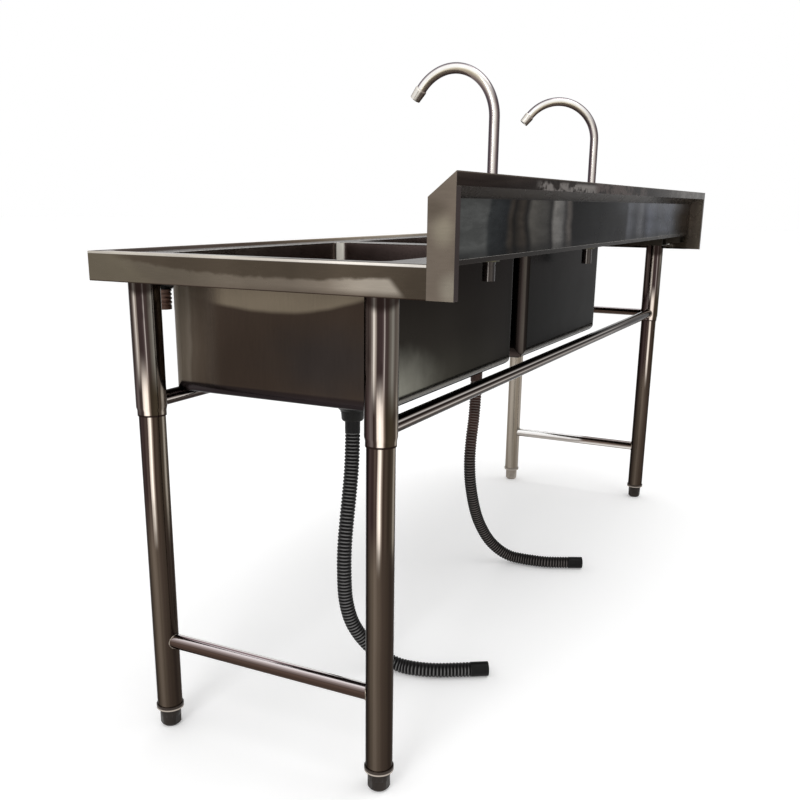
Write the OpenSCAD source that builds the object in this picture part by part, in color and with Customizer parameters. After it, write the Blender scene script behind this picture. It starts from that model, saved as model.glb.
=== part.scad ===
// Double-bowl pot sink on a tubular stand, with a splashback and two swan-neck taps.
// Millimetres. The front faces -Y, the splashback stands at +Y and Z is up.
// The origin is on the floor, under the middle of the worktop.

/* [Worktop] */
// Length of the worktop from end to end
length = 1800; // [1700:10:2000]
// Depth of the worktop from the front edge to the back of the splashback
depth = 600; // [600:5:700]
// Height of the raised edge above the floor
rim_z = 800; // [780:5:900]
// Height of the raised edge above the deck
rim_rise = 4; // [3:0.5:8]
// Width of the flat top of the raised edge
rim_w = 20; // [14:1:30]
// Height of the turned-down skirt
skirt_h = 44; // [40:1:55]
// Width of the return along the foot of the skirt
skirt_return = 12; // [8:1:12]
// Thickness of the stainless sheet
sheet = 1.2; // [1:0.1:1.5]

/* [Splashback] */
// Distance from the panel's front face to the back edge
splash_set = 38; // [30:1:45]
// Height of the upright part above the raised edge
knee_h = 82; // [70:1:100]
// Height of the whole splashback above the raised edge
splash_h = 113; // [110:1:150]
// Drop of the return along the back of the splashback
back_return = 18; // [12:1:25]
// Width of the return down the back of each end cap
cap_return = 15; // [10:1:18]
// Height of the deck's upturned edge behind the panel
deck_upturn = 6; // [4:1:10]

/* [Bowls] */
// Width of one bowl, outside
bowl_w = 536; // [500:2:540]
// Depth of one bowl from front to back, outside
bowl_d = 386; // [360:2:390]
// Height of one bowl below the deck's top face
bowl_h = 220; // [190:1:230]
// Gap between the two bowls
bowl_gap = 62; // [55:1:70]
// Distance from the worktop's right end to the right bowl
bowl_inset = 94; // [94:1:110]
// Distance from the front edge to the bowls
bowl_front = 71; // [71:1:74]
// Radius of the upright corners
corner_r = 20; // [15:1:25]
// Radius between the walls and the bottom
bottom_r = 22; // [22:1:25]
// Distance of the drain in front of the bowl's middle
drain_shift = 11; // [0:1:20]

/* [Stand] */
// Outside diameter of the upper leg tubes
leg_d = 48; // [48:0.5:50]
// Outside diameter of the lower leg tubes
lower_d = 42; // [38:0.5:42]
// Wall of the leg tubes
leg_wall = 1.5; // [1.2:0.1:2]
// Distance from each end of the worktop to the leg axes
leg_inset = 40; // [40:1:42]
// Distance from the front edge to the front leg axes
leg_front = 71; // [71:1:80]
// Distance from the back edge to the rear leg axes
leg_rear = 121; // [118:1:121]
// Depth that the lower tubes plug into the upper ones
plug_depth = 70; // [60:1:90]
// Outside diameter of the long upper rails
rail_d = 24; // [20:0.5:24]
// Diameter of the short upper rail at the platform's end
end_rail_d = 20; // [18:0.5:22]
// Drop of the upper rails' axes below the bowls' bottoms
rail_drop = 6; // [6:1:14]
// Drop of the upper leg tubes' mouths below the rails' axes
mouth_drop = 22; // [22:1:40]
// Outside diameter of the lower cross rails
cross_d = 25; // [22:0.5:28]
// Height of the lower cross rails' axes above the floor
cross_z = 160; // [120:5:220]
// Width of the channels under the deck
channel_w = 60; // [60:1:62]
// Height of the channels under the deck
channel_h = 20; // [20:1:24]
// Thickness of the channels' metal
channel_t = 1.5; // [1.2:0.1:2]
// Thickness of the plates on top of the legs
plate = 3; // [2.5:0.5:4]
// Diameter of the bolts through those plates
bolt_d = 6; // [5, 6]

/* [Feet] */
// Diameter of the adjustable feet
foot_d = 35; // [32:0.5:38]
// Height of a foot below the collar
foot_h = 33; // [28:1:38]
// Diameter of the collar under each leg tube
collar_d = 46; // [44:0.5:48]
// Height of the collar
collar_h = 7; // [5:0.5:9]
// Length of the plug inside the leg tube
plug_l = 30; // [25:1:40]
// Diameter of the foot's threaded stem
stem_d = 16; // [14:1:18]
// Length of the stem above the foot
stem_l = 57; // [50:1:80]

/* [Taps] */
// Distance from the back edge to the taps' axes
tap_back = 98; // [96:1:104]
// Distance of each tap from its bowl's middle, towards the other bowl
tap_shift = 9; // [0:1:20]
// Outside diameter of the tap's threaded tail
tail_d = 20.955; // [16.662, 20.955]
// Length of the free end of the tail, where the supply hose screws on
inlet_l = 24; // [18:1:26]
// Height of the cover under the tap
base_h = 5; // [4:0.5:8]
// Diameter of the cover under the tap
base_d = 50; // [46:1:54]
// Height of the tap body above its cover
body_h = 67; // [60:1:75]
// Diameter of the tap body
body_d = 34; // [32:1:36]
// Height of the valve's axis above the cover
valve_h = 31; // [28:1:34]
// Reach of the valve's boss from the tap's axis
boss_l = 30; // [26:1:34]
// Diameter of the valve cartridge
valve_d = 16; // [14:1:17]
// Length of the lever from the valve's axis to the middle of its tip
lever_l = 48; // [40:1:60]
// Outside diameter of the spout tube
spout_d = 17; // [15:0.5:18]
// Radius of the swan neck, to the tube's axis
neck_r = 77; // [60:1:90]
// Height of the swan neck's centre above the deck
neck_rise = 207; // [190:0.5:240]
// Angle that the swan neck bends through
neck_angle = 140; // [120:5:180]
// Length of the nozzle
nozzle_l = 20; // [18:0.2:26]
// Turn of the right spout from straight ahead
right_turn = -8; // [-60:1:60]
// Turn of the left spout from straight ahead
left_turn = 25; // [-60:1:60]

/* [Drains] */
// Diameter of the hole in the bowl's bottom
drain_hole = 90; // [88:1:92]
// Diameter of the drain's steel flange
flange_d = 112; // [108:1:116]
// Thickness of that flange
flange_t = 1.5; // [1:0.1:2]
// Depth of the ledge that carries the strainer, below the bowl
ledge_drop = 18; // [14:1:20]
// Thickness of the gasket under the bowl
gasket_t = 3; // [2:0.5:4]
// Depth of the drain cup's straight part, below the bowl
cup_h = 36; // [34:1:44]
// Height of the cup's cone
cone_h = 26; // [24:1:40]
// Outside diameter of the cup's outlet
outlet_d = 36; // [34:1:38]
// Height of the nut that holds the hose
nut_h = 16; // [14:1:20]
// Outside diameter of the drain hose
hose_d = 28; // [26:0.5:30]
// Distance between the hose's ribs
rib_pitch = 6.5; // [6.5:0.1:9]
// Height of the hose's ribs
rib_h = 1.6; // [1:0.1:2]
// Length of the hose's smooth start
collar_l = 22; // [15:1:26]
// Diameter of the cuff on the hose's end
cuff_d = 28; // [25:0.5:28]
// Length of that cuff
cuff_l = 34; // [25:1:45]

/* [Overflows] */
// Distance from the bowl's right side to the overflow
overflow_inset = 36; // [36:1:60]
// Depth of the overflow's centre below the deck
overflow_drop = 44; // [40:1:50]
// Diameter of the overflow's neck through the bowl's wall
neck_d = 24; // [20:1:24]
// Distance from the bowl to the elbow's upright part
elbow_reach = 41; // [36:1:41]
// Length of the ribbed tail under the elbow
tail_l = 33; // [26:1:60]

/* [Hidden] */
$fn = 64;

// Clearance of threads and sliding fits, on the radius
fit = 0.05;
// Gap between a coped tube end and the tube that it is welded to
weld = 0.05;
// Overshoot of cutting solids
eps = 1;

// Main planes and places
end_x = length / 2;
front_y = -depth / 2;
back_y = depth / 2;
panel_y = back_y - splash_set;
deck_z = rim_z - rim_rise;
under_z = deck_z - sheet;
skirt_z = rim_z - skirt_h;
bowl_y0 = front_y + bowl_front;
bowl_y = bowl_y0 + bowl_d / 2;
floor_z = deck_z - bowl_h;
right_x = end_x - bowl_inset - bowl_w / 2;
left_x = right_x - bowl_w - bowl_gap;
drain_y = bowl_y - drain_shift;
leg_x = end_x - leg_inset;
leg_yf = front_y + leg_front;
leg_yr = back_y - leg_rear;
rail_z = floor_z - rail_drop;
mouth_z = rail_z - mouth_drop;
stop_z = mouth_z + plug_depth;
channel_z = under_z - channel_h;
plate_z = channel_z - plate;
overflow_x = bowl_w / 2 - overflow_inset;
overflow_z = deck_z - overflow_drop;
tap_y = back_y - tap_back;
right_tap_x = right_x - tap_shift;
left_tap_x = left_x + tap_shift;

// Colours as the photograph shows them
steel = [0.62, 0.59, 0.55];
bright = [0.82, 0.81, 0.78];
black = [0.13, 0.13, 0.14];
rubber = [0.2, 0.2, 0.2];
brass = [0.8, 0.7, 0.4];

// Tube standing on the XY plane
module tube(d, h, wall) {
  difference() {
    cylinder(d = d, h = h);
    translate([0, 0, -eps]) cylinder(d = d - 2 * wall, h = h + 2 * eps);
  }
}

// Tube between two points on one line along X, or along Y
module rail_tube(from, to, d, wall) {
  turn = from[0] == to[0] ? [-90, 0, 0] : [0, 90, 0];
  translate(from) rotate(turn) tube(d, norm(to - from), wall);
}

// Rectangle with round corners, centred
module round_rect(w, d, r) {
  square([w - 2 * r, d], center = true);
  square([w, d - 2 * r], center = true);
  for (x = [-1, 1], y = [-1, 1]) translate([x * (w / 2 - r), y * (d / 2 - r)]) circle(r = r);
}

// Block from one corner to the opposite one
module block(a, b) {
  translate(a) cube(b - a);
}

// Hexagonal bar standing on the XY plane, by the distance across its flats
module hex(af, h) {
  cylinder(d = af / cos(30), h = h, $fn = 6);
}

// Space above the deck inside the raised edge, grown sideways and lowered by g
module deck_recess(g) {
  x0 = end_x - rim_w + g;
  y0 = front_y + rim_w - g;
  z0 = deck_z - g;
  top = rim_z + eps;
  run = top - z0;
  intersection() {
    translate([-end_x - eps, 0, 0]) rotate([90, 0, 90]) linear_extrude(length + 2 * eps)
      polygon([[y0 + rim_rise, z0], [depth, z0], [depth, top], [y0 + rim_rise - run, top]]);
    translate([0, depth, 0]) rotate([90, 0, 0]) linear_extrude(3 * depth)
      polygon([[-x0 + rim_rise, z0], [x0 - rim_rise, z0], [x0 - rim_rise + run, top],
        [-x0 + rim_rise - run, top]]);
  }
}

module worktop() {
  s = sheet;
  lip_y = panel_y + 2 * s;
  color(steel) difference() {
    union() {
      difference() {
        block([-end_x, front_y, skirt_z], [end_x, panel_y, rim_z]);
        deck_recess(0);
        block([-end_x + s, front_y + s, skirt_z - eps], [end_x - s, panel_y + eps, under_z]);
        difference() {
          block([-end_x + s, front_y + s, under_z - eps], [end_x - s, panel_y + eps, rim_z - s]);
          deck_recess(s);
        }
      }
      block([-end_x, front_y, skirt_z], [end_x, front_y + skirt_return, skirt_z + s]);
      for (x = [-end_x, end_x - skirt_return])
        block([x, front_y, skirt_z], [x + skirt_return, panel_y, skirt_z + s]);
      block([-end_x + s, panel_y - eps, under_z], [end_x - s, lip_y, deck_z]);
      block([-end_x + s, panel_y + s, under_z], [end_x - s, lip_y, deck_z + deck_upturn]);
    }
    for (x = [left_x, right_x]) translate([x, bowl_y, under_z - eps]) linear_extrude(2 * eps + s)
      round_rect(bowl_w - 2 * s, bowl_d - 2 * s, corner_r - s);
    for (x = [left_tap_x, right_tap_x])
      translate([x, tap_y, under_z - eps]) cylinder(d = tail_d + 1, h = 2 * eps + s);
  }
}

module splash_panel() {
  s = sheet;
  slope = (splash_h - knee_h) / splash_set;
  dip = s * sqrt(1 + slope * slope);
  knee = rim_z + knee_h;
  top = rim_z + splash_h;
  color(steel) translate([-end_x + s, 0, 0]) rotate([90, 0, 90]) linear_extrude(length - 2 * s)
    polygon([[panel_y, deck_z], [panel_y, knee], [back_y, top], [back_y, top - back_return],
      [back_y - s, top - back_return], [back_y - s, top - s * slope - dip],
      [panel_y + s, knee + s * slope - dip], [panel_y + s, deck_z]]);
}

// End cap of the splashback at the right, which mirror() puts at the left
module splash_cap() {
  s = sheet;
  top = rim_z + splash_h;
  color(steel) {
    translate([end_x - s, 0, 0]) rotate([90, 0, 90]) linear_extrude(s)
      polygon([[panel_y, skirt_z], [back_y, skirt_z], [back_y, top], [panel_y, rim_z + knee_h]]);
    block([end_x - cap_return, back_y - s, skirt_z], [end_x - s / 2, back_y, top - back_return]);
  }
}

// Section of a bowl, centred, with its lower corners rounded to radius r
module trough(w, h, r) {
  translate([-w / 2, r]) square([w, h - r]);
  translate([-w / 2 + r, 0]) square([w - 2 * r, h]);
  for (x = [-1, 1]) translate([x * (w / 2 - r), r]) circle(r = r);
}

// Bowl outline less g all round, with round edges between its walls and its bottom
module bowl_form(g, z0, top) {
  w = bowl_w - 2 * g;
  d = bowl_d - 2 * g;
  h = top - z0;
  r = bottom_r - g;
  translate([0, 0, z0]) intersection() {
    linear_extrude(h) round_rect(w, d, corner_r - g);
    translate([0, depth, 0]) rotate([90, 0, 0]) linear_extrude(2 * depth) trough(w, h, r);
    translate([-length, 0, 0]) rotate([90, 0, 90]) linear_extrude(2 * length) trough(d, h, r);
  }
}

module bowl(x) {
  color(steel) translate([x, bowl_y, 0]) difference() {
    bowl_form(0, floor_z, under_z);
    bowl_form(sheet, floor_z + sheet, under_z + eps);
    translate([0, -drain_shift, floor_z - eps]) cylinder(d = drain_hole, h = sheet + 2 * eps);
    translate([overflow_x, -bowl_d / 2 - eps, overflow_z]) rotate([-90, 0, 0])
      cylinder(d = neck_d + 4 * fit, h = sheet + 2 * eps);
  }
}

// Spacing and heads of the fixings in a leg plate
fix_x = 20;
fix_y = 33;
plate_l = 90;
bolt_hole = bolt_d + 0.6;
bolt_af = 10;
bolt_head = 4;
bolt_nut = 5;
channel_y0 = front_y + skirt_return;
channel_y1 = panel_y - 8;

module fixing_places(x, y) {
  for (i = [-1, 1], j = [-1, 1]) translate([x + i * fix_x, y + j * fix_y, 0]) children();
}

// Open-topped channel under the deck, from front to back
module channel(x) {
  w = channel_w / 2;
  color(steel) difference() {
    block([x - w, channel_y0, channel_z], [x + w, channel_y1, under_z]);
    block([x - w + channel_t, channel_y0 - eps, channel_z + channel_t],
      [x + w - channel_t, channel_y1 + eps, under_z + eps]);
    for (y = [leg_yf, leg_yr]) fixing_places(x, y)
      translate([0, 0, channel_z - eps]) cylinder(d = bolt_hole, h = channel_t + 2 * eps);
  }
}

// Hat-shaped stiffener under the middle of the platform
module platform_stiffener() {
  x = (left_x - bowl_w / 2 - end_x) / 2;
  w = channel_w / 2;
  brim = channel_w / 4;
  color(steel) difference() {
    union() {
      block([x - w, channel_y0, channel_z], [x + w, channel_y1, under_z]);
      block([x - w - brim, channel_y0, under_z - channel_t], [x + w + brim, channel_y1, under_z]);
    }
    block([x - w + channel_t, channel_y0 - eps, channel_z + channel_t],
      [x + w - channel_t, channel_y1 + eps, under_z + eps]);
  }
}

// Bolts with their nuts, four at each leg plate
module leg_fixings() {
  nut_z = channel_z + channel_t;
  tip_z = nut_z + bolt_nut + eps;
  color(bright) for (x = [-leg_x, leg_x], y = [leg_yf, leg_yr]) fixing_places(x, y) {
    translate([0, 0, plate_z - bolt_head]) hex(bolt_af, bolt_head);
    translate([0, 0, plate_z - bolt_head]) cylinder(d = bolt_d, h = tip_z - plate_z + bolt_head);
    translate([0, 0, nut_z]) difference() {
      hex(bolt_af, bolt_nut);
      translate([0, 0, -eps]) cylinder(d = bolt_d + 2 * fit, h = bolt_nut + 2 * eps);
    }
  }
}

// Height of the drawn-in mouth of an upper leg, of the cone above it and the lip of its stop
mouth_h = 8;
mouth_cone = 6;
stop_lip = 4;

// Upper leg with its mounting plate, stop ring and drawn-in mouth
module upper_leg(x, y) {
  r = leg_d / 2;
  b = r - leg_wall;
  m = lower_d / 2 + 2 * fit;
  z1 = mouth_z + mouth_h;
  z2 = z1 + mouth_cone;
  color(steel) translate([x, y, 0]) {
    rotate_extrude() polygon([[m, mouth_z], [m + leg_wall, mouth_z], [m + leg_wall, z1], [r, z2],
      [r, plate_z], [b, plate_z], [b, stop_z + plate], [b - stop_lip, stop_z + plate],
      [b - stop_lip, stop_z], [b, stop_z], [b, z2], [m, z1]]);
    difference() {
      translate([-channel_w / 2, -plate_l / 2, plate_z]) cube([channel_w, plate_l, plate]);
      fixing_places(0, 0) translate([0, 0, plate_z - eps]) cylinder(d = bolt_hole, h = plate + 2 * eps);
    }
  }
}

// Upright cutter that copes a rail's end to a leg of diameter d
module cope(x, y, z, d) {
  translate([x, y, z - d]) cylinder(d = d + 2 * weld, h = 2 * d);
}

module long_rail(y) {
  color(steel) difference() {
    rail_tube([-leg_x, y, rail_z], [leg_x, y, rail_z], rail_d, sheet);
    for (x = [-leg_x, leg_x]) cope(x, y, rail_z, leg_d);
  }
}

module end_rail_left() {
  color(steel) difference() {
    rail_tube([-leg_x, leg_yf, rail_z], [-leg_x, leg_yr, rail_z], end_rail_d, sheet);
    for (y = [leg_yf, leg_yr]) cope(-leg_x, y, rail_z, leg_d);
  }
}

module cross_rail(x) {
  color(steel) difference() {
    rail_tube([x, leg_yf, cross_z], [x, leg_yr, cross_z], cross_d, sheet);
    for (y = [leg_yf, leg_yr]) cope(x, y, cross_z, lower_d);
  }
}

module lower_leg(x, y) {
  z0 = foot_h + collar_h;
  color(steel) translate([x, y, z0]) tube(lower_d, stop_z - z0, leg_wall);
}

// Plugs in the bottoms of the lower legs, each with a collar and a threaded bore
module foot_inserts() {
  h = collar_h + plug_l;
  color(black) for (x = [-leg_x, leg_x], y = [leg_yf, leg_yr]) translate([x, y, foot_h]) difference() {
    union() {
      cylinder(d = collar_d, h = collar_h);
      cylinder(d = lower_d - 2 * leg_wall - 2 * fit, h = h);
    }
    translate([0, 0, -eps]) cylinder(d = stem_d + 2 * fit, h = h + 2 * eps);
  }
}

// Adjustable foot with flats for a spanner, a chamfered sole and its threaded stem
module foot(x, y) {
  r = foot_d / 2;
  sole = foot_d / 7;
  flat_h = foot_h * 0.6;
  color(black) translate([x, y, 0]) {
    intersection() {
      rotate_extrude() polygon([[0, 0], [r - sole, 0], [r, sole], [r, foot_h], [0, foot_h]]);
      union() {
        hex(foot_d * 0.93, flat_h);
        translate([0, 0, flat_h - eps]) cylinder(d = foot_d, h = foot_h);
      }
    }
    translate([0, 0, foot_h - eps]) cylinder(d = stem_d, h = stem_l + eps);
  }
}

// Drain fittings, from the bowl's floor down to the hose
skirt_r = drain_hole / 2 - 0.4;
basket_seat_r = skirt_r - 2.3;
ledge_r = basket_seat_r - 7.3;
ledge_z = floor_z - ledge_drop;
cup_z = floor_z - cup_h;
cone_z = cup_z - cone_h;
outlet_step = 2;
hose_z = cone_z - outlet_step - nut_h;

module drain_flange(x) {
  seat = floor_z + sheet;
  color(bright) translate([x, drain_y, 0]) rotate_extrude() polygon([[basket_seat_r, seat + flange_t],
    [flange_d / 2, seat + flange_t], [flange_d / 2, seat], [skirt_r, seat], [skirt_r, ledge_z],
    [ledge_r, ledge_z], [ledge_r, ledge_z + sheet], [basket_seat_r, ledge_z + sheet]]);
}

module drain_gaskets() {
  color(rubber) for (x = [left_x, right_x]) translate([x, drain_y, floor_z - gasket_t]) difference() {
    cylinder(d = flange_d - 4, h = gasket_t);
    translate([0, 0, -eps]) cylinder(d = drain_hole + 0.4, h = gasket_t + 2 * eps);
  }
}

module drain_cup(x) {
  wall = 3;
  brim = 5;
  top = floor_z - gasket_t;
  in_r = skirt_r + 2 * fit;
  rim_r = flange_d / 2 - 2;
  o = outlet_d / 2;
  color(black) translate([x, drain_y, 0]) rotate_extrude() polygon([[in_r, top], [rim_r, top],
    [rim_r, top - brim], [in_r + wall, top - brim], [in_r + wall, cup_z], [o + 4, cone_z],
    [o + 4, cone_z - outlet_step], [o, cone_z - outlet_step], [o, hose_z + 4], [o - wall, hose_z + 4],
    [o - wall, cone_z], [in_r, cup_z + 2]]);
}

// Nut that holds the hose on the cup's outlet
module hose_nut(x) {
  r = outlet_d / 2 + 3;
  bevel = 2.5;
  color(black) translate([x, drain_y, hose_z]) difference() {
    rotate_extrude() polygon([[0, 0], [r - bevel, 0], [r - 1, bevel], [r, nut_h], [0, nut_h]]);
    translate([0, 0, -eps]) cylinder(d = hose_d - 6, h = nut_h + 2 * eps);
    translate([0, 0, 4]) cylinder(d = outlet_d + 4 * fit, h = nut_h);
    for (a = [0:30:330]) rotate(a) translate([r + 1.4, 0, bevel]) cylinder(r = 2, h = nut_h, $fn = 16);
  }
}

// Perforated basket with a knob, which lifts out of the drain
module strainer(x) {
  r = basket_seat_r - 0.8;
  h = ledge_drop + flange_t;
  knob_z = h + 4;
  knob_r = 11;
  knob_h = 9;
  bevel = 3;
  color(bright) translate([x, drain_y, ledge_z + sheet]) {
    difference() {
      cylinder(r = r, h = h);
      translate([0, 0, sheet]) cylinder(r = r - sheet, h = h);
      for (ring_r = [r / 3, r / 1.8, r / 1.3], a = [0:360 / floor(ring_r / 1.8):359])
        rotate(a) translate([ring_r, 0, -eps]) cylinder(d = 4, h = sheet + 2 * eps, $fn = 16);
    }
    cylinder(d = 6, h = knob_z + 2);
    translate([0, 0, knob_z]) rotate_extrude()
      polygon([[0, 0], [knob_r - bevel, 0], [knob_r, bevel], [knob_r, knob_h - bevel / 2],
        [knob_r - bevel, knob_h], [0, knob_h]]);
  }
}

// Routes of the two drain hoses, from the nut down to the cuff
right_route = [[538, -47, 496], [538, -47, 466], [542, -47, 410], [551, -47, 358], [561, -47, 310],
  [569, -47, 262], [571, -47, 212], [567, -46, 155], [556, -38, 105], [537, -18, 60], [519, 12, 27],
  [512, 42, 15], [509, 76, 14.5], [498, 110, 14.5], [479, 144, 14.5], [463, 169, 14.5]];
left_route = [[-60, -47, 496], [-60, -47, 466], [-58, -47, 425], [-52, -47, 381], [-40, -47, 332],
  [-35, -47, 281], [-42, -46, 225], [-61, -43, 166], [-84, -37, 115], [-105, -20, 68], [-122, 3, 37],
  [-135, 30, 19], [-141, 62, 14.5], [-143, 94, 14.5], [-148, 122, 14.5], [-158, 146, 14.5],
  [-171, 172, 14.5]];

// Points on a smooth curve through a route, which runs straight at both ends
function unit(v) = v / norm(v);
function between(a, b, c, d, t) = (2 * b + (c - a) * t + (2 * a - 5 * b + 4 * c - d) * t * t
  + (3 * b - a - 3 * c + d) * t * t * t) / 2;
function curve(p, steps) = concat([p[0]], [for (i = [1:len(p) - 3], k = [0:steps - 1])
  between(p[i - 1], p[i], p[i + 1], p[i + 2], k / steps)], [p[len(p) - 2], p[len(p) - 1]]);

// Running lengths of a curve, the point at length s on it and a ring of eight points round that
function lengths(c, i = 1, sum = 0) = i >= len(c) ? [sum]
  : concat([sum], lengths(c, i + 1, sum + norm(c[i] - c[i - 1])));
function place(c, l, s, i = 1) = i == len(c) - 1 || l[i] >= s
  ? c[i - 1] + (c[i] - c[i - 1]) * (s - l[i - 1]) / (l[i] - l[i - 1]) : place(c, l, s, i + 1);
function ring(c, l, s, r) = let (reach = rib_pitch / 4, total = l[len(l) - 1],
  t = unit(place(c, l, min(s + reach, total)) - place(c, l, max(s - reach, 0))),
  side = [1, 0, 0], n = unit(side - (side * t) * t), m = cross(t, n), o = place(c, l, s))
  [for (k = [0:7]) o + r * (cos(45 * k) * n + sin(45 * k) * m)];

// Ribbed hose with its bore, as one unbroken tube
module ribbed_hose(route, name) {
  c = curve(route, 8);
  l = lengths(c);
  total = l[len(l) - 1];
  ribs = floor((total - collar_l) / rib_pitch);
  step = (total - collar_l) / ribs;
  r = hose_d / 2;
  outer = concat([ring(c, l, 0, r)],
    [for (i = [0:ribs - 1], k = [0, 0.5]) ring(c, l, collar_l + (i + k) * step, k == 0 ? r : r - rib_h)],
    [ring(c, l, total, r)]);
  bores = ceil(total / hose_d);
  inner = [for (i = [bores:-1:0]) ring(c, l, i * total / bores, r - 4)];
  rings = concat(outer, inner);
  n = len(rings);
  echo(str(name, ": length ", total, ", ribs ", ribs));
  color(black) polyhedron([for (g = rings, p = g) p],
    [for (i = [0:n - 1], k = [0:7], half = [0, 1]) let (j = (i + 1) % n, q = (k + 1) % 8)
      half == 0 ? [i * 8 + k, j * 8 + q, i * 8 + q] : [i * 8 + k, j * 8 + k, j * 8 + q]]);
}

// Smooth cuff on a hose's end, in line with the hose's last stretch
module hose_cuff(route) {
  b = route[len(route) - 1];
  d = b - route[len(route) - 2];
  color(black) translate(b) rotate([0, 90, atan2(d[1], d[0])]) tube(cuff_d, cuff_l, 3);
}

// Overflow fittings, at the front of each bowl near its right side
elbow_r = 16;

module overflow_places() {
  for (x = [left_x, right_x]) translate([x + overflow_x, bowl_y0, overflow_z]) children();
}

module overflow_rosettes() {
  rose_t = 2;
  neck_l = 12;
  color(bright) overflow_places() translate([0, sheet, 0]) rotate([90, 0, 0]) difference() {
    union() {
      translate([0, 0, -rose_t]) cylinder(d = neck_d + 10, h = rose_t);
      cylinder(d = neck_d, h = neck_l);
    }
    for (a = [0:60:300]) rotate(a) translate([7, 0, -rose_t - eps]) cylinder(d = 5, h = 8, $fn = 24);
    translate([0, 0, 3]) cylinder(d = neck_d - 3, h = neck_l);
  }
}

module overflow_elbows() {
  socket = 14;
  wall = 6;
  color(black) overflow_places() difference() {
    union() {
      rotate([90, 0, 0]) cylinder(r = elbow_r, h = 5);
      rotate([90, 0, 0]) cylinder(r = elbow_r - 2, h = elbow_reach);
      translate([0, -elbow_reach, -elbow_r]) cylinder(r = elbow_r, h = 2 * elbow_r - 1);
    }
    rotate([90, 0, 0]) translate([0, 0, -eps]) cylinder(d = neck_d + 2 * fit, h = socket + eps);
    rotate([90, 0, 0]) cylinder(r = elbow_r - wall, h = elbow_reach);
    translate([0, -elbow_reach, -elbow_r - eps]) cylinder(r = elbow_r - wall, h = elbow_r + eps);
  }
}

// Short ribbed tails that hang from the overflow elbows
module overflow_tails() {
  r = elbow_r - 2;
  cuff = 6;
  ribs = floor((tail_l - cuff) / rib_pitch);
  color(black) overflow_places() translate([0, -elbow_reach, -elbow_r]) rotate_extrude()
    polygon(concat([[r - 4, 0], [r - rib_h, 0]],
      [for (i = [0:ribs - 1], k = [0.25, 0.5, 0.75, 1])
        [k <= 0.5 ? r : r - rib_h, -(i + k) * rib_pitch]],
      [[r - rib_h / 2, cuff - tail_l], [r - rib_h / 2, -tail_l], [r - 4, -tail_l]]));
}

// Tap parts, on the tap's own axis
body_z = deck_z + base_h;
body_top = body_z + body_h;
valve_z = body_z + valve_h;
spout_depth = 20;
spout_foot = body_top - spout_depth;
neck_z = deck_z + neck_rise;
washer_d = 36;
washer_t = 1.5;
tap_nut_h = 8.5;
tail_z = under_z - washer_t - tap_nut_h - 7 - inlet_l;
valve_seat = body_d / 4;

module tap_bases() {
  r = base_d / 2;
  color(bright) for (x = [left_tap_x, right_tap_x]) translate([x, tap_y, deck_z]) difference() {
    rotate_extrude() polygon([[0, 0], [r, 0], [r, 2], [r - 5, base_h], [0, base_h]]);
    translate([0, 0, -eps]) cylinder(d = tail_d + 4 * fit, h = base_h + 2 * eps);
  }
}

module tap_washers() {
  color(bright) for (x = [left_tap_x, right_tap_x]) translate([x, tap_y, under_z - washer_t])
    tube(washer_d, washer_t, (washer_d - tail_d) / 2 - 2 * fit);
}

module tap_nuts() {
  z0 = under_z - washer_t - tap_nut_h;
  color(bright) for (x = [left_tap_x, right_tap_x]) translate([x, tap_y, z0]) difference() {
    hex(tail_d + 9, tap_nut_h);
    translate([0, 0, -eps]) cylinder(d = tail_d + 2 * fit, h = tap_nut_h + 2 * eps);
  }
}

// Body with its threaded tail, whose free end lies below a groove, and with the valve's boss
module tap_body(x) {
  groove = 2;
  inlet_top = tail_z + inlet_l;
  bore_d = 11;
  color(bright) translate([x, tap_y, 0]) difference() {
    union() {
      translate([0, 0, body_z]) cylinder(d = body_d, h = body_h);
      translate([0, 0, tail_z]) cylinder(d = tail_d, h = inlet_l);
      translate([0, 0, inlet_top]) cylinder(d = tail_d - 2, h = groove);
      translate([0, 0, inlet_top + groove]) cylinder(d = tail_d, h = body_z - inlet_top - groove);
      translate([0, 0, valve_z]) rotate([0, 90, 0]) cylinder(d = valve_d + 8, h = boss_l);
    }
    translate([0, 0, tail_z - eps]) cylinder(d = bore_d, h = body_top - tail_z);
    translate([0, 0, spout_foot]) cylinder(d = spout_d + 2 * fit, h = body_h);
    translate([0, 0, valve_z]) rotate([0, 90, 0]) cylinder(d = bore_d, h = valve_seat);
    translate([valve_seat, 0, valve_z]) rotate([0, 90, 0]) cylinder(d = valve_d + 2 * fit, h = boss_l);
  }
}

// Quarter-turn valve in the side boss, with its bonnet outside
bonnet_h = 4;
spindle_d = 8;
spindle_in = 12;

module cartridge(x) {
  color(brass) translate([x, tap_y, valve_z]) rotate([0, 90, 0]) difference() {
    union() {
      translate([0, 0, valve_seat]) cylinder(d = valve_d, h = boss_l - valve_seat);
      translate([0, 0, boss_l]) hex(valve_d + 4, bonnet_h);
    }
    translate([0, 0, boss_l - spindle_in]) cylinder(d = spindle_d + 2 * fit, h = spindle_in + 2 * bonnet_h);
  }
}

// Handle on the valve's spindle, upright when the tap is shut
module lever(x) {
  hub_x = boss_l + bonnet_h + 0.5;
  arm_x = hub_x + 2;
  arm_w = 12;
  arm_t = 8;
  color(bright) translate([x, tap_y, valve_z]) {
    rotate([0, 90, 0]) {
      translate([0, 0, boss_l - spindle_in + 1]) cylinder(d = spindle_d, h = hub_x - boss_l + spindle_in);
      translate([0, 0, hub_x]) cylinder(d = valve_d + 8, h = arm_w);
    }
    translate([arm_x, -arm_w / 2, 4]) cube([arm_t, arm_w, lever_l - 4]);
    translate([arm_x, 0, lever_l]) rotate([0, 90, 0]) cylinder(d = arm_w, h = arm_t);
  }
}

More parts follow.
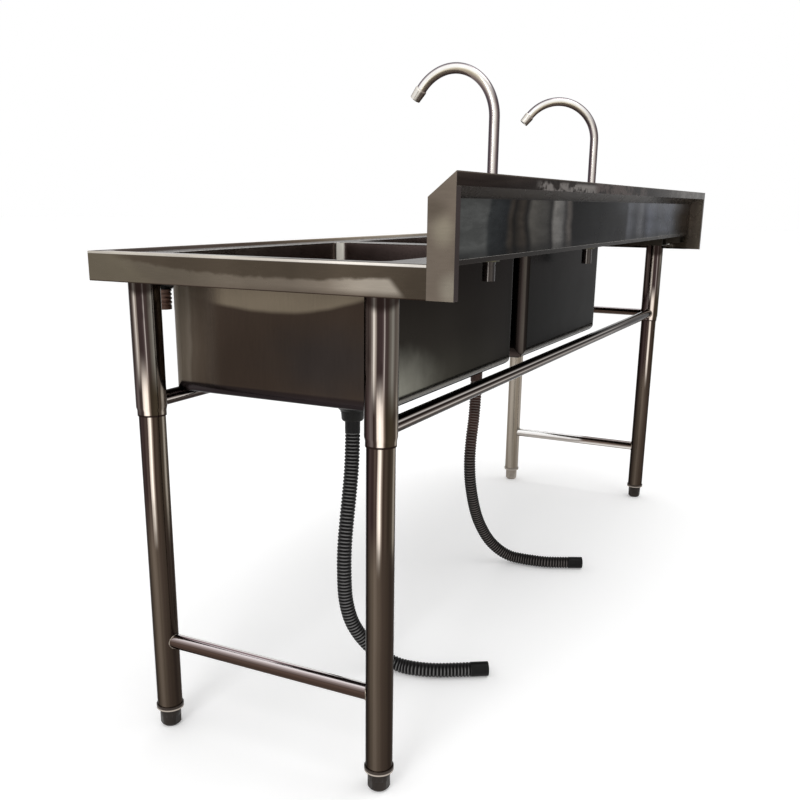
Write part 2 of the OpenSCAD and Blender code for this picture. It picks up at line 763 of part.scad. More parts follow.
// Swan-neck tube that swivels in the top of the body
module spout(x, turn) {
  foot_z = spout_foot + 0.5;
  color(bright) translate([x, tap_y, 0]) rotate(turn) {
    translate([0, 0, foot_z]) tube(spout_d, neck_z - foot_z, sheet);
    translate([0, -neck_r, neck_z]) rotate([90, 0, 90]) rotate_extrude(angle = neck_angle)
      translate([neck_r, 0]) difference() {
        circle(d = spout_d);
        circle(d = spout_d - 2 * sheet);
      }
  }
}

module spout_nut(x) {
  h = 12;
  af = spout_d + 9;
  color(bright) translate([x, tap_y, body_top]) difference() {
    intersection() {
      hex(af, h);
      rotate_extrude() polygon([[0, 0], [af * 0.6, 0], [af * 0.6, h - 3], [af * 0.48, h], [0, h]]);
    }
    translate([0, 0, -eps]) cylinder(d = spout_d + 2 * fit, h = h + 2 * eps);
  }
}

// Nozzle on the spout's end, widest just below the tube
module nozzle(x, turn) {
  r = spout_d / 2;
  mouth = 3;
  color(bright) translate([x, tap_y, 0]) rotate(turn) translate([0, -neck_r, neck_z])
    rotate([neck_angle, 0, 0]) translate([0, neck_r, 0]) rotate_extrude() polygon([[r - 2, 0], [r, 0],
      [r + 1.25, 2.5], [r + 0.15, nozzle_l], [r - 1.1, nozzle_l], [r - 1.1, nozzle_l - mouth],
      [r - 2, nozzle_l - mouth]]);
}

worktop();
splash_panel();
splash_cap();  // splash_cap_right
mirror([1, 0, 0]) splash_cap();  // splash_cap_left
bowl(right_x);  // bowl_right
bowl(left_x);  // bowl_left
channel(leg_x);  // end_channel_right
channel(-leg_x);  // end_channel_left
platform_stiffener();
leg_fixings();
upper_leg(leg_x, leg_yf);  // upper_leg_front_right
upper_leg(leg_x, leg_yr);  // upper_leg_rear_right
upper_leg(-leg_x, leg_yf);  // upper_leg_front_left
upper_leg(-leg_x, leg_yr);  // upper_leg_rear_left
long_rail(leg_yf);  // front_rail
long_rail(leg_yr);  // rear_rail
end_rail_left();
lower_leg(leg_x, leg_yf);  // lower_leg_front_right
lower_leg(leg_x, leg_yr);  // lower_leg_rear_right
lower_leg(-leg_x, leg_yf);  // lower_leg_front_left
lower_leg(-leg_x, leg_yr);  // lower_leg_rear_left
cross_rail(leg_x);  // cross_rail_right
cross_rail(-leg_x);  // cross_rail_left
foot_inserts();
foot(leg_x, leg_yf);  // foot_front_right
foot(leg_x, leg_yr);  // foot_rear_right
foot(-leg_x, leg_yf);  // foot_front_left
foot(-leg_x, leg_yr);  // foot_rear_left
drain_flange(right_x);  // drain_flange_right
drain_flange(left_x);  // drain_flange_left
drain_gaskets();
drain_cup(right_x);  // drain_cup_right
drain_cup(left_x);  // drain_cup_left
hose_nut(right_x);  // hose_nut_right
hose_nut(left_x);  // hose_nut_left
strainer(right_x);  // strainer_right
strainer(left_x);  // strainer_left
ribbed_hose(right_route, "right hose");  // drain_hose_right
ribbed_hose(left_route, "left hose");  // drain_hose_left
hose_cuff(right_route);  // hose_cuff_right
hose_cuff(left_route);  // hose_cuff_left
overflow_rosettes();
overflow_elbows();
overflow_tails();
tap_bases();
tap_washers();
tap_nuts();
tap_body(right_tap_x);  // tap_body_right
tap_body(left_tap_x);  // tap_body_left
cartridge(right_tap_x);  // cartridge_right
cartridge(left_tap_x);  // cartridge_left
lever(right_tap_x);  // lever_right
lever(left_tap_x);  // lever_left
spout(right_tap_x, right_turn);  // spout_right
spout(left_tap_x, left_turn);  // spout_left
spout_nut(right_tap_x);  // spout_nut_right
spout_nut(left_tap_x);  // spout_nut_left
nozzle(right_tap_x, right_turn);  // nozzle_right
nozzle(left_tap_x, left_turn);  // nozzle_left
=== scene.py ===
"""Looks of the double-bowl pot sink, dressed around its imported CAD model."""
import math

import bpy
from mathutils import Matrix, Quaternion, Vector


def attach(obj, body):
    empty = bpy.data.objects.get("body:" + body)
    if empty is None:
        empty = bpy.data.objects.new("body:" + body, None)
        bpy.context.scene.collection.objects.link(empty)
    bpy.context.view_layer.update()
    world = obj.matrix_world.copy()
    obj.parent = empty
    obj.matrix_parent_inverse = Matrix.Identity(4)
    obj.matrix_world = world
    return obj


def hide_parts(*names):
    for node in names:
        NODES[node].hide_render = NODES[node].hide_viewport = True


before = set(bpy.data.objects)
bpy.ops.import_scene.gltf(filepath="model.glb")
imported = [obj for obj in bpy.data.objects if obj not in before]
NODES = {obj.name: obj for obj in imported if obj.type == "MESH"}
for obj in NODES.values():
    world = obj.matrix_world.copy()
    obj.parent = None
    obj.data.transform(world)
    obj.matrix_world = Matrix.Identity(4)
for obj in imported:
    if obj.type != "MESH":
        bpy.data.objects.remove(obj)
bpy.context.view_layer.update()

SIDES = ("right", "left")
LEGS = [(f, s) for s in SIDES for f in ("front", "rear")]


# Camera at the photograph's place, with a small part of its shift

EYE = (1.9828, 0.7641, 0.8734)
AZIMUTH, ELEVATION, ROLL = 116.3, 16.0, 0.7
FOCAL_PX, PICTURE_PX = 936.0, 800
SENSOR_MM = 36
SHIFT = 0.09
TOWARD = (0.893, 0.444, -0.10)  # direction from the object to the camera


def make_camera():
    a, e = math.radians(AZIMUTH), math.radians(ELEVATION)
    back = Vector((math.sin(a) * math.cos(e), -math.cos(a) * math.cos(e), math.sin(e)))
    data = bpy.data.cameras.new("camera")
    data.sensor_width = SENSOR_MM
    data.lens = FOCAL_PX * SENSOR_MM / PICTURE_PX
    data.shift_y = SHIFT
    data.clip_start, data.clip_end = 0.05, 100
    cam = bpy.data.objects.new("camera", data)
    cam.location = EYE
    cam.rotation_mode = "QUATERNION"
    turn = Quaternion((0, 0, 1), math.radians(ROLL))
    cam.rotation_quaternion = (-back).to_track_quat("-Z", "Y") @ turn
    bpy.context.scene.collection.objects.link(cam)
    bpy.context.scene.camera = cam


make_camera()


# Places and sizes of the CAD model that the forms and looks below follow, in metres

END_X, BACK_Y, PANEL_Y = 0.9, 0.3, 0.262
TOP_Z, KNEE_Z, RIM_Z, SKIRT_Z = 0.913, 0.882, 0.8, 0.756
BOWL_FRONT_Y, BOWL_REAR_Y, BOWL_FLOOR_Z, FAR_BOWL_END_X = -0.229, 0.157, 0.576, 0.208
LEG_X, LEG_FRONT, LEG_REAR = 0.86, -0.229, 0.179
MOUTH_Z, FOOT_Z = 0.548, 0.033  # foot of the upper legs, and top of the feet


# Meshes

def add_mesh(name, points, faces, smooth=True):
    mesh = bpy.data.meshes.new(name)
    mesh.from_pydata([tuple(p) for p in points], [], faces)
    mesh.validate()
    mesh.polygons.foreach_set("use_smooth", [smooth] * len(mesh.polygons))
    mesh.update()
    obj = bpy.data.objects.new(name, mesh)
    bpy.context.scene.collection.objects.link(obj)
    return obj


def ring_faces(count, sides, closed=False):
    """Quads between count rings of sides points each."""
    faces = []
    for i in range(count if closed else count - 1):
        a, b = i * sides, (i + 1) % count * sides
        for k in range(sides):
            q = (k + 1) % sides
            faces.append((a + k, a + q, b + q, b + k))
    return faces


# Drain hoses, on the routes of the CAD model

ROUTES = {
    "right": [(538, -47, 496), (538, -47, 466), (542, -47, 410), (551, -47, 358), (561, -47, 310),
              (569, -47, 262), (571, -47, 212), (567, -46, 155), (556, -38, 105), (537, -18, 60),
              (519, 12, 27), (512, 42, 15), (509, 76, 14.5), (498, 110, 14.5), (479, 144, 14.5),
              (463, 169, 14.5)],
    "left": [(-60, -47, 496), (-60, -47, 466), (-58, -47, 425), (-52, -47, 381), (-40, -47, 332),
             (-35, -47, 281), (-42, -46, 225), (-61, -43, 166), (-84, -37, 115), (-105, -20, 68),
             (-122, 3, 37), (-135, 30, 19), (-141, 62, 14.5), (-143, 94, 14.5), (-148, 122, 14.5),
             (-158, 146, 14.5), (-171, 172, 14.5)],
}
HOSE_R = 0.014
HOSE_SIDES = 32
CURVE_STEPS = 8  # points of the curve for each point of a route
RIB_H = 0.0016
RIB_PITCH = 0.0065
RIB_START = 0.15  # share of a pitch before the first groove
# Places along one pitch, and the groove's depth there as a share of the ribs' height
RIB_SHAPE = [
    (0.0, 0.0), (0.14, 0.06), (0.26, 0.35), (0.36, 0.85), (0.46, 1.0), (0.56, 1.0), (0.66, 0.85),
    (0.76, 0.35), (0.88, 0.06),
]
COLLAR_L = 0.022
# The plain collar's share of the painted rib highlight
COLLAR_SHINE = 0.25
BORE_R = 0.010
BORE_DEPTHS = (0.0, 0.02, 0.06)


def smooth_curve(route):
    """A Catmull-Rom curve through the route's points in mm, given in metres."""
    p = [Vector(q) / 1000 for q in route]
    out = [p[0]]
    for i in range(1, len(p) - 2):
        a, b, c, d = p[i - 1:i + 3]
        for k in range(CURVE_STEPS):
            t = k / CURVE_STEPS
            out.append((2 * b + (c - a) * t + (2 * a - 5 * b + 4 * c - d) * t * t
                        + (3 * b - a - 3 * c + d) * t ** 3) / 2)
    return out + [p[-2], p[-1]]


def running_lengths(curve):
    out = [0.0]
    for a, b in zip(curve, curve[1:]):
        out.append(out[-1] + (b - a).length)
    return out


def place(curve, lengths, s):
    """The point at length s along the curve."""
    for i in range(1, len(curve)):
        if lengths[i] >= s or i == len(curve) - 1:
            share = (s - lengths[i - 1]) / (lengths[i] - lengths[i - 1])
            return curve[i - 1].lerp(curve[i], share)


def ring(curve, lengths, s, r):
    """Points of radius r round the hose at length s, square to its run."""
    ahead = place(curve, lengths, min(s + RIB_PITCH / 2, lengths[-1]))
    behind = place(curve, lengths, max(s - RIB_PITCH / 2, 0))
    t = (ahead - behind).normalized()
    n = (Vector((1, 0, 0)) - t * t.x).normalized()
    m = t.cross(n)
    o = place(curve, lengths, s)
    angles = (2 * math.pi * k / HOSE_SIDES for k in range(HOSE_SIDES))
    return [o + r * (math.cos(a) * n + math.sin(a) * m) for a in angles]


def rib_profile(total):
    """Distances along the hose with the radius at each: a plain collar, then round-topped ribs."""
    ribs = int((total - COLLAR_L) / RIB_PITCH)
    step = (total - COLLAR_L) / ribs
    out = [(0.0, HOSE_R), (COLLAR_L / 2, HOSE_R), (COLLAR_L - 0.0008, HOSE_R),
           (COLLAR_L, HOSE_R - 0.0003)]
    for i in range(ribs):
        out += [(COLLAR_L + (i + RIB_START + k) * step, HOSE_R - RIB_H * dip)
                for k, dip in RIB_SHAPE if i + RIB_START + k < ribs]
    return out + [(total, HOSE_R - 0.0002)]


def make_hose(side):
    """A ribbed hose with an open end. Its crest attribute is high at the tops of the ribs, where
    the hose material paints a highlight.
    """
    curve = smooth_curve(ROUTES[side])
    lengths = running_lengths(curve)
    total = lengths[-1]
    points, crest = [], []
    for s, r in rib_profile(total):
        points += ring(curve, lengths, s, r)
        highlight_share = max(0.0, 1 - (HOSE_R - r) / RIB_H * 1.6) if s > COLLAR_L else COLLAR_SHINE
        crest += [highlight_share] * HOSE_SIDES
    for depth in BORE_DEPTHS:
        points += ring(curve, lengths, total - depth, BORE_R)
        crest += [0.0] * HOSE_SIDES
    faces = ring_faces(len(points) // HOSE_SIDES, HOSE_SIDES)
    obj = add_mesh(f"ribbed_hose_{side}", points, faces)
    obj.data.attributes.new("crest", "FLOAT", "POINT").data.foreach_set("value", crest)
    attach(obj, "stand")
    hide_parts(f"drain_hose_{side}")
    return obj


HOSES = {side: make_hose(side) for side in SIDES}


# Materials

def shade(colour):
    """An 8-bit screen colour, or a plain grey from 0 to 1, as Blender's linear colour."""
    if not isinstance(colour, tuple):
        return (colour, colour, colour, 1.0)
    out = []
    for v in colour:
        v = v / 255
        out.append(v / 12.92 if v <= 0.04045 else ((v + 0.055) / 1.055) ** 2.4)
    return (*out, 1.0)


class Tree:
    """A material's node tree, with short calls for the nodes used here."""

    def __init__(self, name):
        self.material = bpy.data.materials.new(name)
        self.material.use_nodes = True
        self.tree = self.material.node_tree
        self.shader = self.tree.nodes["Principled BSDF"]
        coords = self.tree.nodes.new("ShaderNodeTexCoord")
        self.at = coords.outputs["Object"]
        self.x, self.y, self.z = self.split(self.at)
        self.nx, self.ny, self.nz = self.split(coords.outputs["Normal"])

    def new(self, kind, inputs=(), **settings):
        node = self.tree.nodes.new(kind)
        for key, value in settings.items():
            setattr(node, key, value)
        for key, value in dict(inputs).items():
            self.feed(value, node.inputs[key])
        return node

    def feed(self, value, socket):
        if isinstance(value, bpy.types.NodeSocket):
            self.tree.links.new(value, socket)
        else:
            socket.default_value = value

    def shader_set(self, **values):
        """Sets shader sockets; an underscore in a name stands for a space."""
        for key, value in values.items():
            self.feed(value, self.shader.inputs[key.replace("_", " ")])

    def math(self, operation, a, b=0.0, clamp=False):
        node = self.new("ShaderNodeMath", {0: a, 1: b}, operation=operation, use_clamp=clamp)
        return node.outputs[0]

    def chain(self, operation, values):
        out = values[0]
        for value in values[1:]:
            out = self.math(operation, out, value)
        return out

    def add(self, *values):
        return self.chain("ADD", values)

    def mul(self, *values):
        return self.chain("MULTIPLY", values)

    def most(self, *values):
        return self.chain("MAXIMUM", values)

    def sub(self, a, b):
        return self.math("SUBTRACT", a, b)

    def flip(self, value):
        return self.sub(1.0, value)

    def positive(self, value):
        return self.most(value, 0.0)

    def vector(self, operation, a, b=(0, 0, 0)):
        return self.new("ShaderNodeVectorMath", {0: a, 1: b}, operation=operation).outputs

    def split(self, vector):
        return self.new("ShaderNodeSeparateXYZ", {0: vector}).outputs

    def noise(self, scale, detail=3.0, rough=0.5, at=None):
        """Noise by place, with its own scale along X, Y and Z."""
        where = self.vector("MULTIPLY", self.at if at is None else at, scale)[0]
        node = self.new("ShaderNodeTexNoise", {"Vector": where, "Scale": 1.0, "Detail": detail,
                                               "Roughness": rough})
        return node.outputs[0]

    def sway(self, amount, scale, detail=3.0, rough=0.5, at=None):
        """Noise about zero, by half of amount each way."""
        return self.mul(self.sub(self.noise(scale, detail, rough, at), 0.5), amount)

    def ramp(self, value, stops, smooth=True):
        node = self.new("ShaderNodeValToRGB", {0: value})
        band = node.color_ramp
        band.interpolation = "EASE" if smooth else "LINEAR"
        stops = sorted(stops, key=lambda stop: stop[0])
        for element, stop in ((band.elements[0], stops[0]), (band.elements[1], stops[-1])):
            element.position, element.color = stop[0], shade(stop[1])
        for where, colour in stops[1:-1]:
            band.elements.new(where).color = shade(colour)
        return node.outputs[0]

    def mix(self, share, a, b, blend="MIX"):
        """Colour a with a share of b; the numbers are the sockets of the node's colour form."""
        node = self.new("ShaderNodeMix", data_type="RGBA", blend_type=blend)
        self.feed(share, node.inputs[0])
        self.feed(shade(a) if isinstance(a, tuple) else a, node.inputs[6])
        self.feed(shade(b) if isinstance(b, tuple) else b, node.inputs[7])
        return node.outputs[2]

    def between(self, value, low, high):
        """Rises smoothly from 0 at low to 1 at high."""
        node = self.new("ShaderNodeMapRange", {0: value, 1: low, 2: high, 3: 0.0, 4: 1.0},
                        interpolation_type="SMOOTHSTEP")
        return node.outputs[0]

    def until(self, value, low, high):
        """Falls smoothly from 1 at low to 0 at high."""
        return self.flip(self.between(value, low, high))

    def window(self, value, low, high, soft):
        """1 between low and high, falling to 0 over soft outside them."""
        return self.mul(self.between(value, low - soft, low), self.until(value, high, high + soft))

    def blob(self, centre, size, waver=0.3):
        """A soft-edged cloud round a place, from 1 at its middle to 0 at size."""
        near = self.vector("SUBTRACT", self.at, centre)[0]
        near = self.vector("MULTIPLY", near, tuple(1 / s for s in size))[0]
        far = self.vector("LENGTH", near)[1]
        return self.until(self.add(far, self.sway(waver * 2, (22, 22, 22))), 0.1, 1.0)

    def facing(self, socket, power=2.0, sign=1.0):
        """How far the surface faces one of the object's own directions."""
        value = socket if sign > 0 else self.mul(socket, -1.0)
        return self.math("POWER", self.positive(value), power, clamp=True)

    def toward_camera(self):
        """How squarely the surface faces the photograph's camera, seen from above."""
        return self.add(self.mul(self.nx, TOWARD[0]), self.mul(self.ny, TOWARD[1]))

    def bump(self, height, distance, strength):
        node = self.new("ShaderNodeBump", {"Height": height, "Distance": distance,
                                           "Strength": strength})
        self.tree.links.new(node.outputs[0], self.shader.inputs["Normal"])


def steel_finish(t, colour, lines, rough, tint=0.55, depth=0.00002, smear=9, smear_by=0.16,
                 metal=1.0):
    """Polished steel of one colour pattern: fine drawing lines, and smears in its gloss.

    metal is a number or a share by place. Where it is 0, the colour holds and mirrors nothing.
    """
    colour = t.mix(1.0, colour, t.ramp(lines, [(0.3, 0.95), (0.7, 1.05)], False), "MULTIPLY")
    smears = t.noise((smear, smear, smear), 4.0, 0.6)
    t.shader_set(Base_Color=colour, Metallic=metal, Specular_Tint=(tint, tint, tint, 1.0),
                 Roughness=t.add(t.mul(smears, smear_by), rough - smear_by / 2))
    if not isinstance(metal, float):
        t.shader_set(Specular_IOR_Level=t.mul(metal, 0.5))
    t.bump(lines, depth, 0.5)
    return t.material


def sheet_steel(name, faces, grain=(600, 40, 600), cloud=(3.2, 5.0, 4.0), rough=0.27, tint=0.55,
                extra=None, upper=(196, 188, 176), lower=(120, 112, 100), edges=0.55,
                depth=0.00002):
    """Sheet steel: a painted reflection tone for each way it faces, a painted highlight on upper
    edges and painted shade on lower ones, and soft clouds of painted reflection.

    extra adds the painted reflections, highlights and shade at places on one sheet. It may return a
    share of metal with the colour.
    """
    t = Tree(name)
    colour, metal = faces["+z"], 1.0
    # Painted reflection: one tone for each way the surface faces
    for socket, key in ((t.nz, "-z"), (t.nx, "+x"), (t.nx, "-x"), (t.ny, "+y"), (t.ny, "-y")):
        colour = t.mix(t.facing(socket, 2.0, 1 if key[0] == "+" else -1), colour, faces[key])
    if extra:
        colour = extra(t, colour)
        if isinstance(colour, tuple):
            colour, metal = colour
    if edges:
        # Painted highlight on upward edges and painted shade on downward edges
        level = t.add(t.math("ABSOLUTE", t.nx), t.math("ABSOLUTE", t.ny))
        slope = t.mul(t.nz, level)
        colour = t.mix(t.mul(t.between(slope, 0.22, 0.45), edges, metal), colour, upper)
        drop = t.between(t.mul(slope, -1.0), 0.22, 0.45)
        colour = t.mix(t.mul(drop, edges), colour, lower)
    # Soft clouds of painted reflection
    clouds = t.ramp(t.noise(cloud, 3.0, 0.45), [(0.32, 0.76), (0.5, 0.98), (0.68, 1.22)])
    colour = t.mix(1.0, colour, clouds, "MULTIPLY")
    return steel_finish(t, colour, t.noise(grain, 2.0, 0.6), rough, tint, depth, metal=metal)


# The painted reflection tone for each way a sheet faces
def reflection_tones(px, mx, py, my, pz, mz):
    return {"+x": px, "-x": mx, "+y": py, "-y": my, "+z": pz, "-z": mz}


def turn_share(t, axis, waver, seed):
    """The angle round a tube as a share of a turn from its hidden side, bent a little by place."""
    a, b = {"z": (t.ny, t.nx), "x": (t.nz, t.ny), "y": (t.nz, t.nx)}[axis]
    share = t.add(t.mul(t.math("ARCTAN2", a, b), 1 / (2 * math.pi)), 0.5)
    long_ = {"x": (1.3, 9, 9), "y": (9, 2.2, 9), "z": (2.4, 2.4, 2.6)}[axis]
    moved = t.vector("ADD", t.at, (seed, seed, seed))[0]
    return t.add(share, t.sway(waver, long_, 2.0, 0.45, moved))


def around(t, share, stops):
    """Colours by angle in degrees, where 0 faces +X, or +Y on a tube along X."""
    return t.ramp(share, [(deg / 360 + 0.5, colour) for deg, colour in stops])


def tube_steel(name, axis, stops, waver=0.07, rough=0.13, seed=0.0, second=None, where=None,
               dark=None):
    """Polished tube: painted reflection streaks that run along it, a second set of them on one
    part, and dark marks of painted shade.
    """
    t = Tree(name)
    share = turn_share(t, axis, waver, seed)
    colour = around(t, share, stops)
    if second:
        colour = t.mix(where(t), colour, around(t, share, second))
    if dark:
        # Dark marks: painted shade and reflection, and the seam at the upper legs' mouths
        colour = t.mix(dark(t), colour, (34, 25, 22))
    fine = {"x": (2, 900, 900), "y": (900, 2, 900), "z": (900, 900, 2)}[axis]
    return steel_finish(t, colour, t.noise(fine, 1.0), rough, 0.5, 0.00001, 14, 0.10)


def moulded(name, low, high, rough=0.5, grain=420, ribs=None, brown=None, extra=None, gloss=0.2):
    """Moulded plastic: mottling, a fine grain and duller smears; ribs is the tone of a painted
    highlight on the rib tops that face the camera.
    """
    t = Tree(name)
    mottle = t.noise((18, 18, 18), 4.0, 0.6)
    colour = t.ramp(mottle, [(0.3, low), (0.7, high)])
    if brown:
        browns = t.ramp(mottle, [(0.3, (50, 33, 28)), (0.7, (74, 52, 45))])
        colour = t.mix(brown(t), colour, browns)
    if ribs:
        # Painted highlight on the rib tops, strongest where they face the camera
        crest = t.new("ShaderNodeAttribute", attribute_name="crest").outputs["Fac"]
        front = t.math("ABSOLUTE", t.toward_camera())
        highlight_share = t.add(t.mul(t.between(front, 0.55, 1.0), 0.6), 0.05)
        colour = t.mix(t.mul(t.math("POWER", crest, 2.0), highlight_share), colour, ribs)
    if extra:
        colour = extra(t, colour)
    t.shader_set(Base_Color=colour, Specular_IOR_Level=gloss,
                 Roughness=t.add(t.mul(mottle, 0.2), rough - 0.1))
    t.bump(t.noise((grain, grain, grain), 2.0), 0.00006, 0.4)
    return t.material


def collar_extra(t, colour):
    """A painted highlight line round the foot of each collar, and the far front leg's collar paler
    with painted light.
    """
    # The far front collar paler with painted light
    far = t.mul(t.until(t.x, -0.8, -0.7), t.until(t.y, -0.2, -0.1))
    colour = t.mix(t.mul(far, 0.8), colour, (156, 148, 138))
    # Painted highlight line round the collar's foot
    line = t.window(t.z, FOOT_Z + 0.0006, FOOT_Z + 0.0022, 0.0008)
    return t.mix(t.mul(line, 0.75), colour, (206, 194, 182))


def plain_metal(name, low, high, rough, scale=40):
    """Small metal fittings with painted shade on edges that turn from the camera, faint turning
    marks and smears.
    """
    t = Tree(name)
    mottle = t.noise((scale, scale, scale), 4.0, 0.6)
    # Painted shade where the surface turns away from the camera
    edge_shade_share = t.until(t.math("ABSOLUTE", t.toward_camera()), 0.15, 0.75)
    dark = tuple(int(v * 0.42) for v in low)
    colour = t.mix(edge_shade_share, t.ramp(mottle, [(0.32, low), (0.68, high)]), dark)
    t.shader_set(Base_Color=colour, Metallic=1.0, Specular_Tint=(0.7, 0.7, 0.7, 1.0),
                 Roughness=t.add(t.mul(mottle, 0.2), rough - 0.1))
    t.bump(t.noise((60, 60, 1500), 1.0), 0.00002, 0.3)
    return t.material


# Painted reflections, highlights and shade on single sheets, each at its place

# Painted reflection on the skirt's end, and painted highlights and reflections along the worktop's
# edges and rims
SKIRT_REFLECTION_TONES = [
    (0.0, (94, 86, 75)), (0.6, (112, 102, 91)), (0.85, (120, 110, 99)), (1.0, (158, 149, 137)),
]
EDGE_HIGHLIGHT_TONES = [(0.0, (176, 170, 160)), (0.5, (196, 188, 178)), (1.0, (222, 216, 208))]
STRIP_HIGHLIGHT_TONES = [
    (0.0, (226, 222, 220)), (0.18, (250, 249, 245)), (0.34, (250, 248, 240)),
    (0.46, (196, 190, 184)), (0.6, (158, 153, 150)), (0.75, (130, 126, 122)),
    (1.0, (156, 152, 148)),
]
END_RIM_HIGHLIGHT_TONES = [
    (0.0, (180, 174, 170)), (0.34, (196, 192, 180)), (0.46, (156, 150, 144)),
    (0.6, (122, 118, 115)), (0.75, (98, 94, 88)), (1.0, (112, 108, 104)),
]
FRONT_RIM_REFLECTION_TONES = [
    (0.0, (178, 168, 156)), (0.5, (158, 148, 134)), (0.72, (118, 106, 92)), (0.88, (88, 76, 68)),
    (1.0, (80, 72, 68)),
]


def end_skirt(t, colour):
    """On the skirt's end a paler band of painted reflection below a ragged, sagging line, with
    painted light towards the front.
    """
    end = t.facing(t.nx, 2.0)
    wave = t.add(t.sway(0.010, (4, 14, 4)), t.sway(0.006, (30, 70, 90), 3.0, 0.6))
    across = t.sub(t.y, 0.03)
    line = t.add(t.mul(across, across, 0.24), SKIRT_Z + 0.016, wave)
    below = t.until(t.sub(t.z, line), -0.002, 0.004)
    cut = t.until(t.add(t.y, t.mul(t.sub(t.z, 0.77), 0.9)), 0.213, 0.226)
    tone = t.ramp(t.between(t.y, -0.2, 0.22), SKIRT_REFLECTION_TONES, False)
    tone = t.mix(t.until(t.z, SKIRT_Z, SKIRT_Z + 0.011), tone, (98, 88, 78))
    colour = t.mix(t.mul(end, below, cut), colour, tone)
    front = t.until(t.add(t.y, t.mul(t.z, 1.6)), 1.01, 1.06)
    return t.mix(t.mul(end, front, 0.7), colour, (104, 96, 82))


def worktop_extra(t, colour):
    """The skirt's end, a painted highlight on its upper edge and painted shade at its foot, and
    painted highlights, reflection and shade round the deck's raised edge.
    """
    colour = end_skirt(t, colour)
    # Painted highlight along the end's upper edge
    along_end = t.between(t.y, -0.2, 0.2)
    edge = t.mul(t.between(t.x, END_X - 0.0032, END_X - 0.0022),
                 t.between(t.z, RIM_Z - 0.0038, RIM_Z - 0.0026))
    colour = t.mix(edge, colour, t.ramp(along_end, EDGE_HIGHLIGHT_TONES, False))
    # Painted shade at the skirt's foot
    foot = t.mul(t.positive(t.nx), t.until(t.z, SKIRT_Z + 0.0008, SKIRT_Z + 0.002))
    colour = t.mix(t.mul(foot, 0.85), colour, (44, 32, 26))

    # Painted highlights along the deck's near end and rims, and painted reflection along the front
    # rim
    flat = t.mul(t.positive(t.nz), t.flip(edge))
    high = t.between(t.z, RIM_Z - 0.0015, RIM_Z - 0.0008)
    deck_strip = t.mul(flat, t.between(t.x, 0.80, 0.83), t.flip(high), t.until(t.y, 0.20, 0.26))
    colour = t.mix(deck_strip, colour, t.ramp(along_end, STRIP_HIGHLIGHT_TONES, False))
    end_rim = t.mul(flat, high, t.between(t.x, 0.86, 0.87), t.between(t.y, -0.285, -0.27))
    colour = t.mix(end_rim, colour, t.ramp(along_end, END_RIM_HIGHLIGHT_TONES, False))
    upward = t.mul(t.between(t.nz, 0.2, 0.5), t.flip(edge), t.flip(end_rim))
    front_rim = t.mul(upward, t.until(t.y, -0.275, -0.271), t.between(t.x, -0.88, -0.84))
    along_front = t.between(t.x, -END_X, END_X)
    colour = t.mix(front_rim, colour, t.ramp(along_front, FRONT_RIM_REFLECTION_TONES, False))

    # Painted shade on the upturn below the rim, and dark painted shade without metal on the ledge
    # under the panel
    upturn = t.mul(t.facing(t.ny, 2.0), t.between(t.z, RIM_Z - 0.01, RIM_Z - 0.003))
    colour = t.mix(t.mul(upturn, 0.85), colour, (30, 26, 24))
    ledge = t.mul(t.between(t.nz, 0.2, 0.6), t.between(t.y, PANEL_Y, PANEL_Y + 0.004),
                  t.between(t.x, 0.0, 0.3))
    colour = t.mix(ledge, colour, (40, 39, 36))
    # Where the painted highlights and shade are held, the sheet mirrors nothing
    return colour, t.flip(t.most(ledge, edge, end_rim, front_rim))


# Painted reflection glows on the near end cap. Centre, size, share and tone: along the knee, at the
# lower back corner, and a dim one above
CAP_PAINTED_GLOWS = [((END_X, 0.285, 0.842), (0.05, 0.024, 0.03), 0.7, (142, 134, 118)),
             ((END_X, 0.296, 0.772), (0.05, 0.022, 0.03), 0.75, (140, 133, 120)),
             ((END_X, 0.272, 0.868), (0.05, 0.03, 0.02), 0.5, (76, 68, 58))]


def cap_extra(t, colour):
    """Painted reflection glows on the near end cap, and a paler painted reflection on the lip of
    the far one.
    """
    near = t.between(t.x, 0.85, 0.88)
    end = t.mul(t.facing(t.nx, 2.0), near)
    for centre, size, share, tone in CAP_PAINTED_GLOWS:
        colour = t.mix(t.mul(end, t.blob(centre, size), share), colour, tone)
    far = t.mul(t.facing(t.nx, 2.0), t.flip(near), t.between(t.y, BACK_Y - 0.025, BACK_Y - 0.008))
    return t.mix(far, colour, (124, 114, 102))


# Painted reflections, highlights and shade on the bowls
COLUMN_REFLECTION_TONES = [
    (0.0, (104, 95, 84)), (0.15, (112, 102, 90)), (0.24, (122, 112, 100)), (0.34, (98, 87, 76)),
    (0.6, (86, 75, 65)), (1.0, (66, 56, 48)),
]
INNER_FRONT_REFLECTION_TONES = [(0.0, (132, 118, 112)), (1.0, (156, 144, 136))]
REAR_REFLECTION_TONES = [
    (0.0, (18, 17, 16)), (0.35, (20, 19, 17)), (0.45, (34, 31, 29)), (1.0, (46, 43, 39)),
]
# Painted highlight and shade round the bottom edges, from the wall at 0 to the underside at 1
DIM_EDGE_LIGHT = [
    (0.0, (40, 38, 35)), (0.25, (84, 80, 75)), (0.5, (104, 100, 94)), (0.62, (54, 50, 47)),
    (0.74, (8, 7, 7)), (1.0, (6, 5, 5)),
]
BRIGHT_EDGE_LIGHT = [
    (0.0, (90, 90, 82)), (0.2, (150, 148, 138)), (0.48, (206, 203, 194)), (0.62, (150, 147, 139)),
    (0.74, (12, 10, 9)), (1.0, (6, 5, 5)),
]
BRIGHT_EDGE_LIGHT_SHARE = [(0.0, 0.05), (0.4, 0.25), (1.0, 0.32)]
END_EDGE_SHADING = [
    (0.0, (34, 27, 26)), (0.3, (42, 35, 34)), (0.6, (52, 45, 46)), (0.85, (46, 39, 40)),
    (1.0, (36, 30, 28)),
]


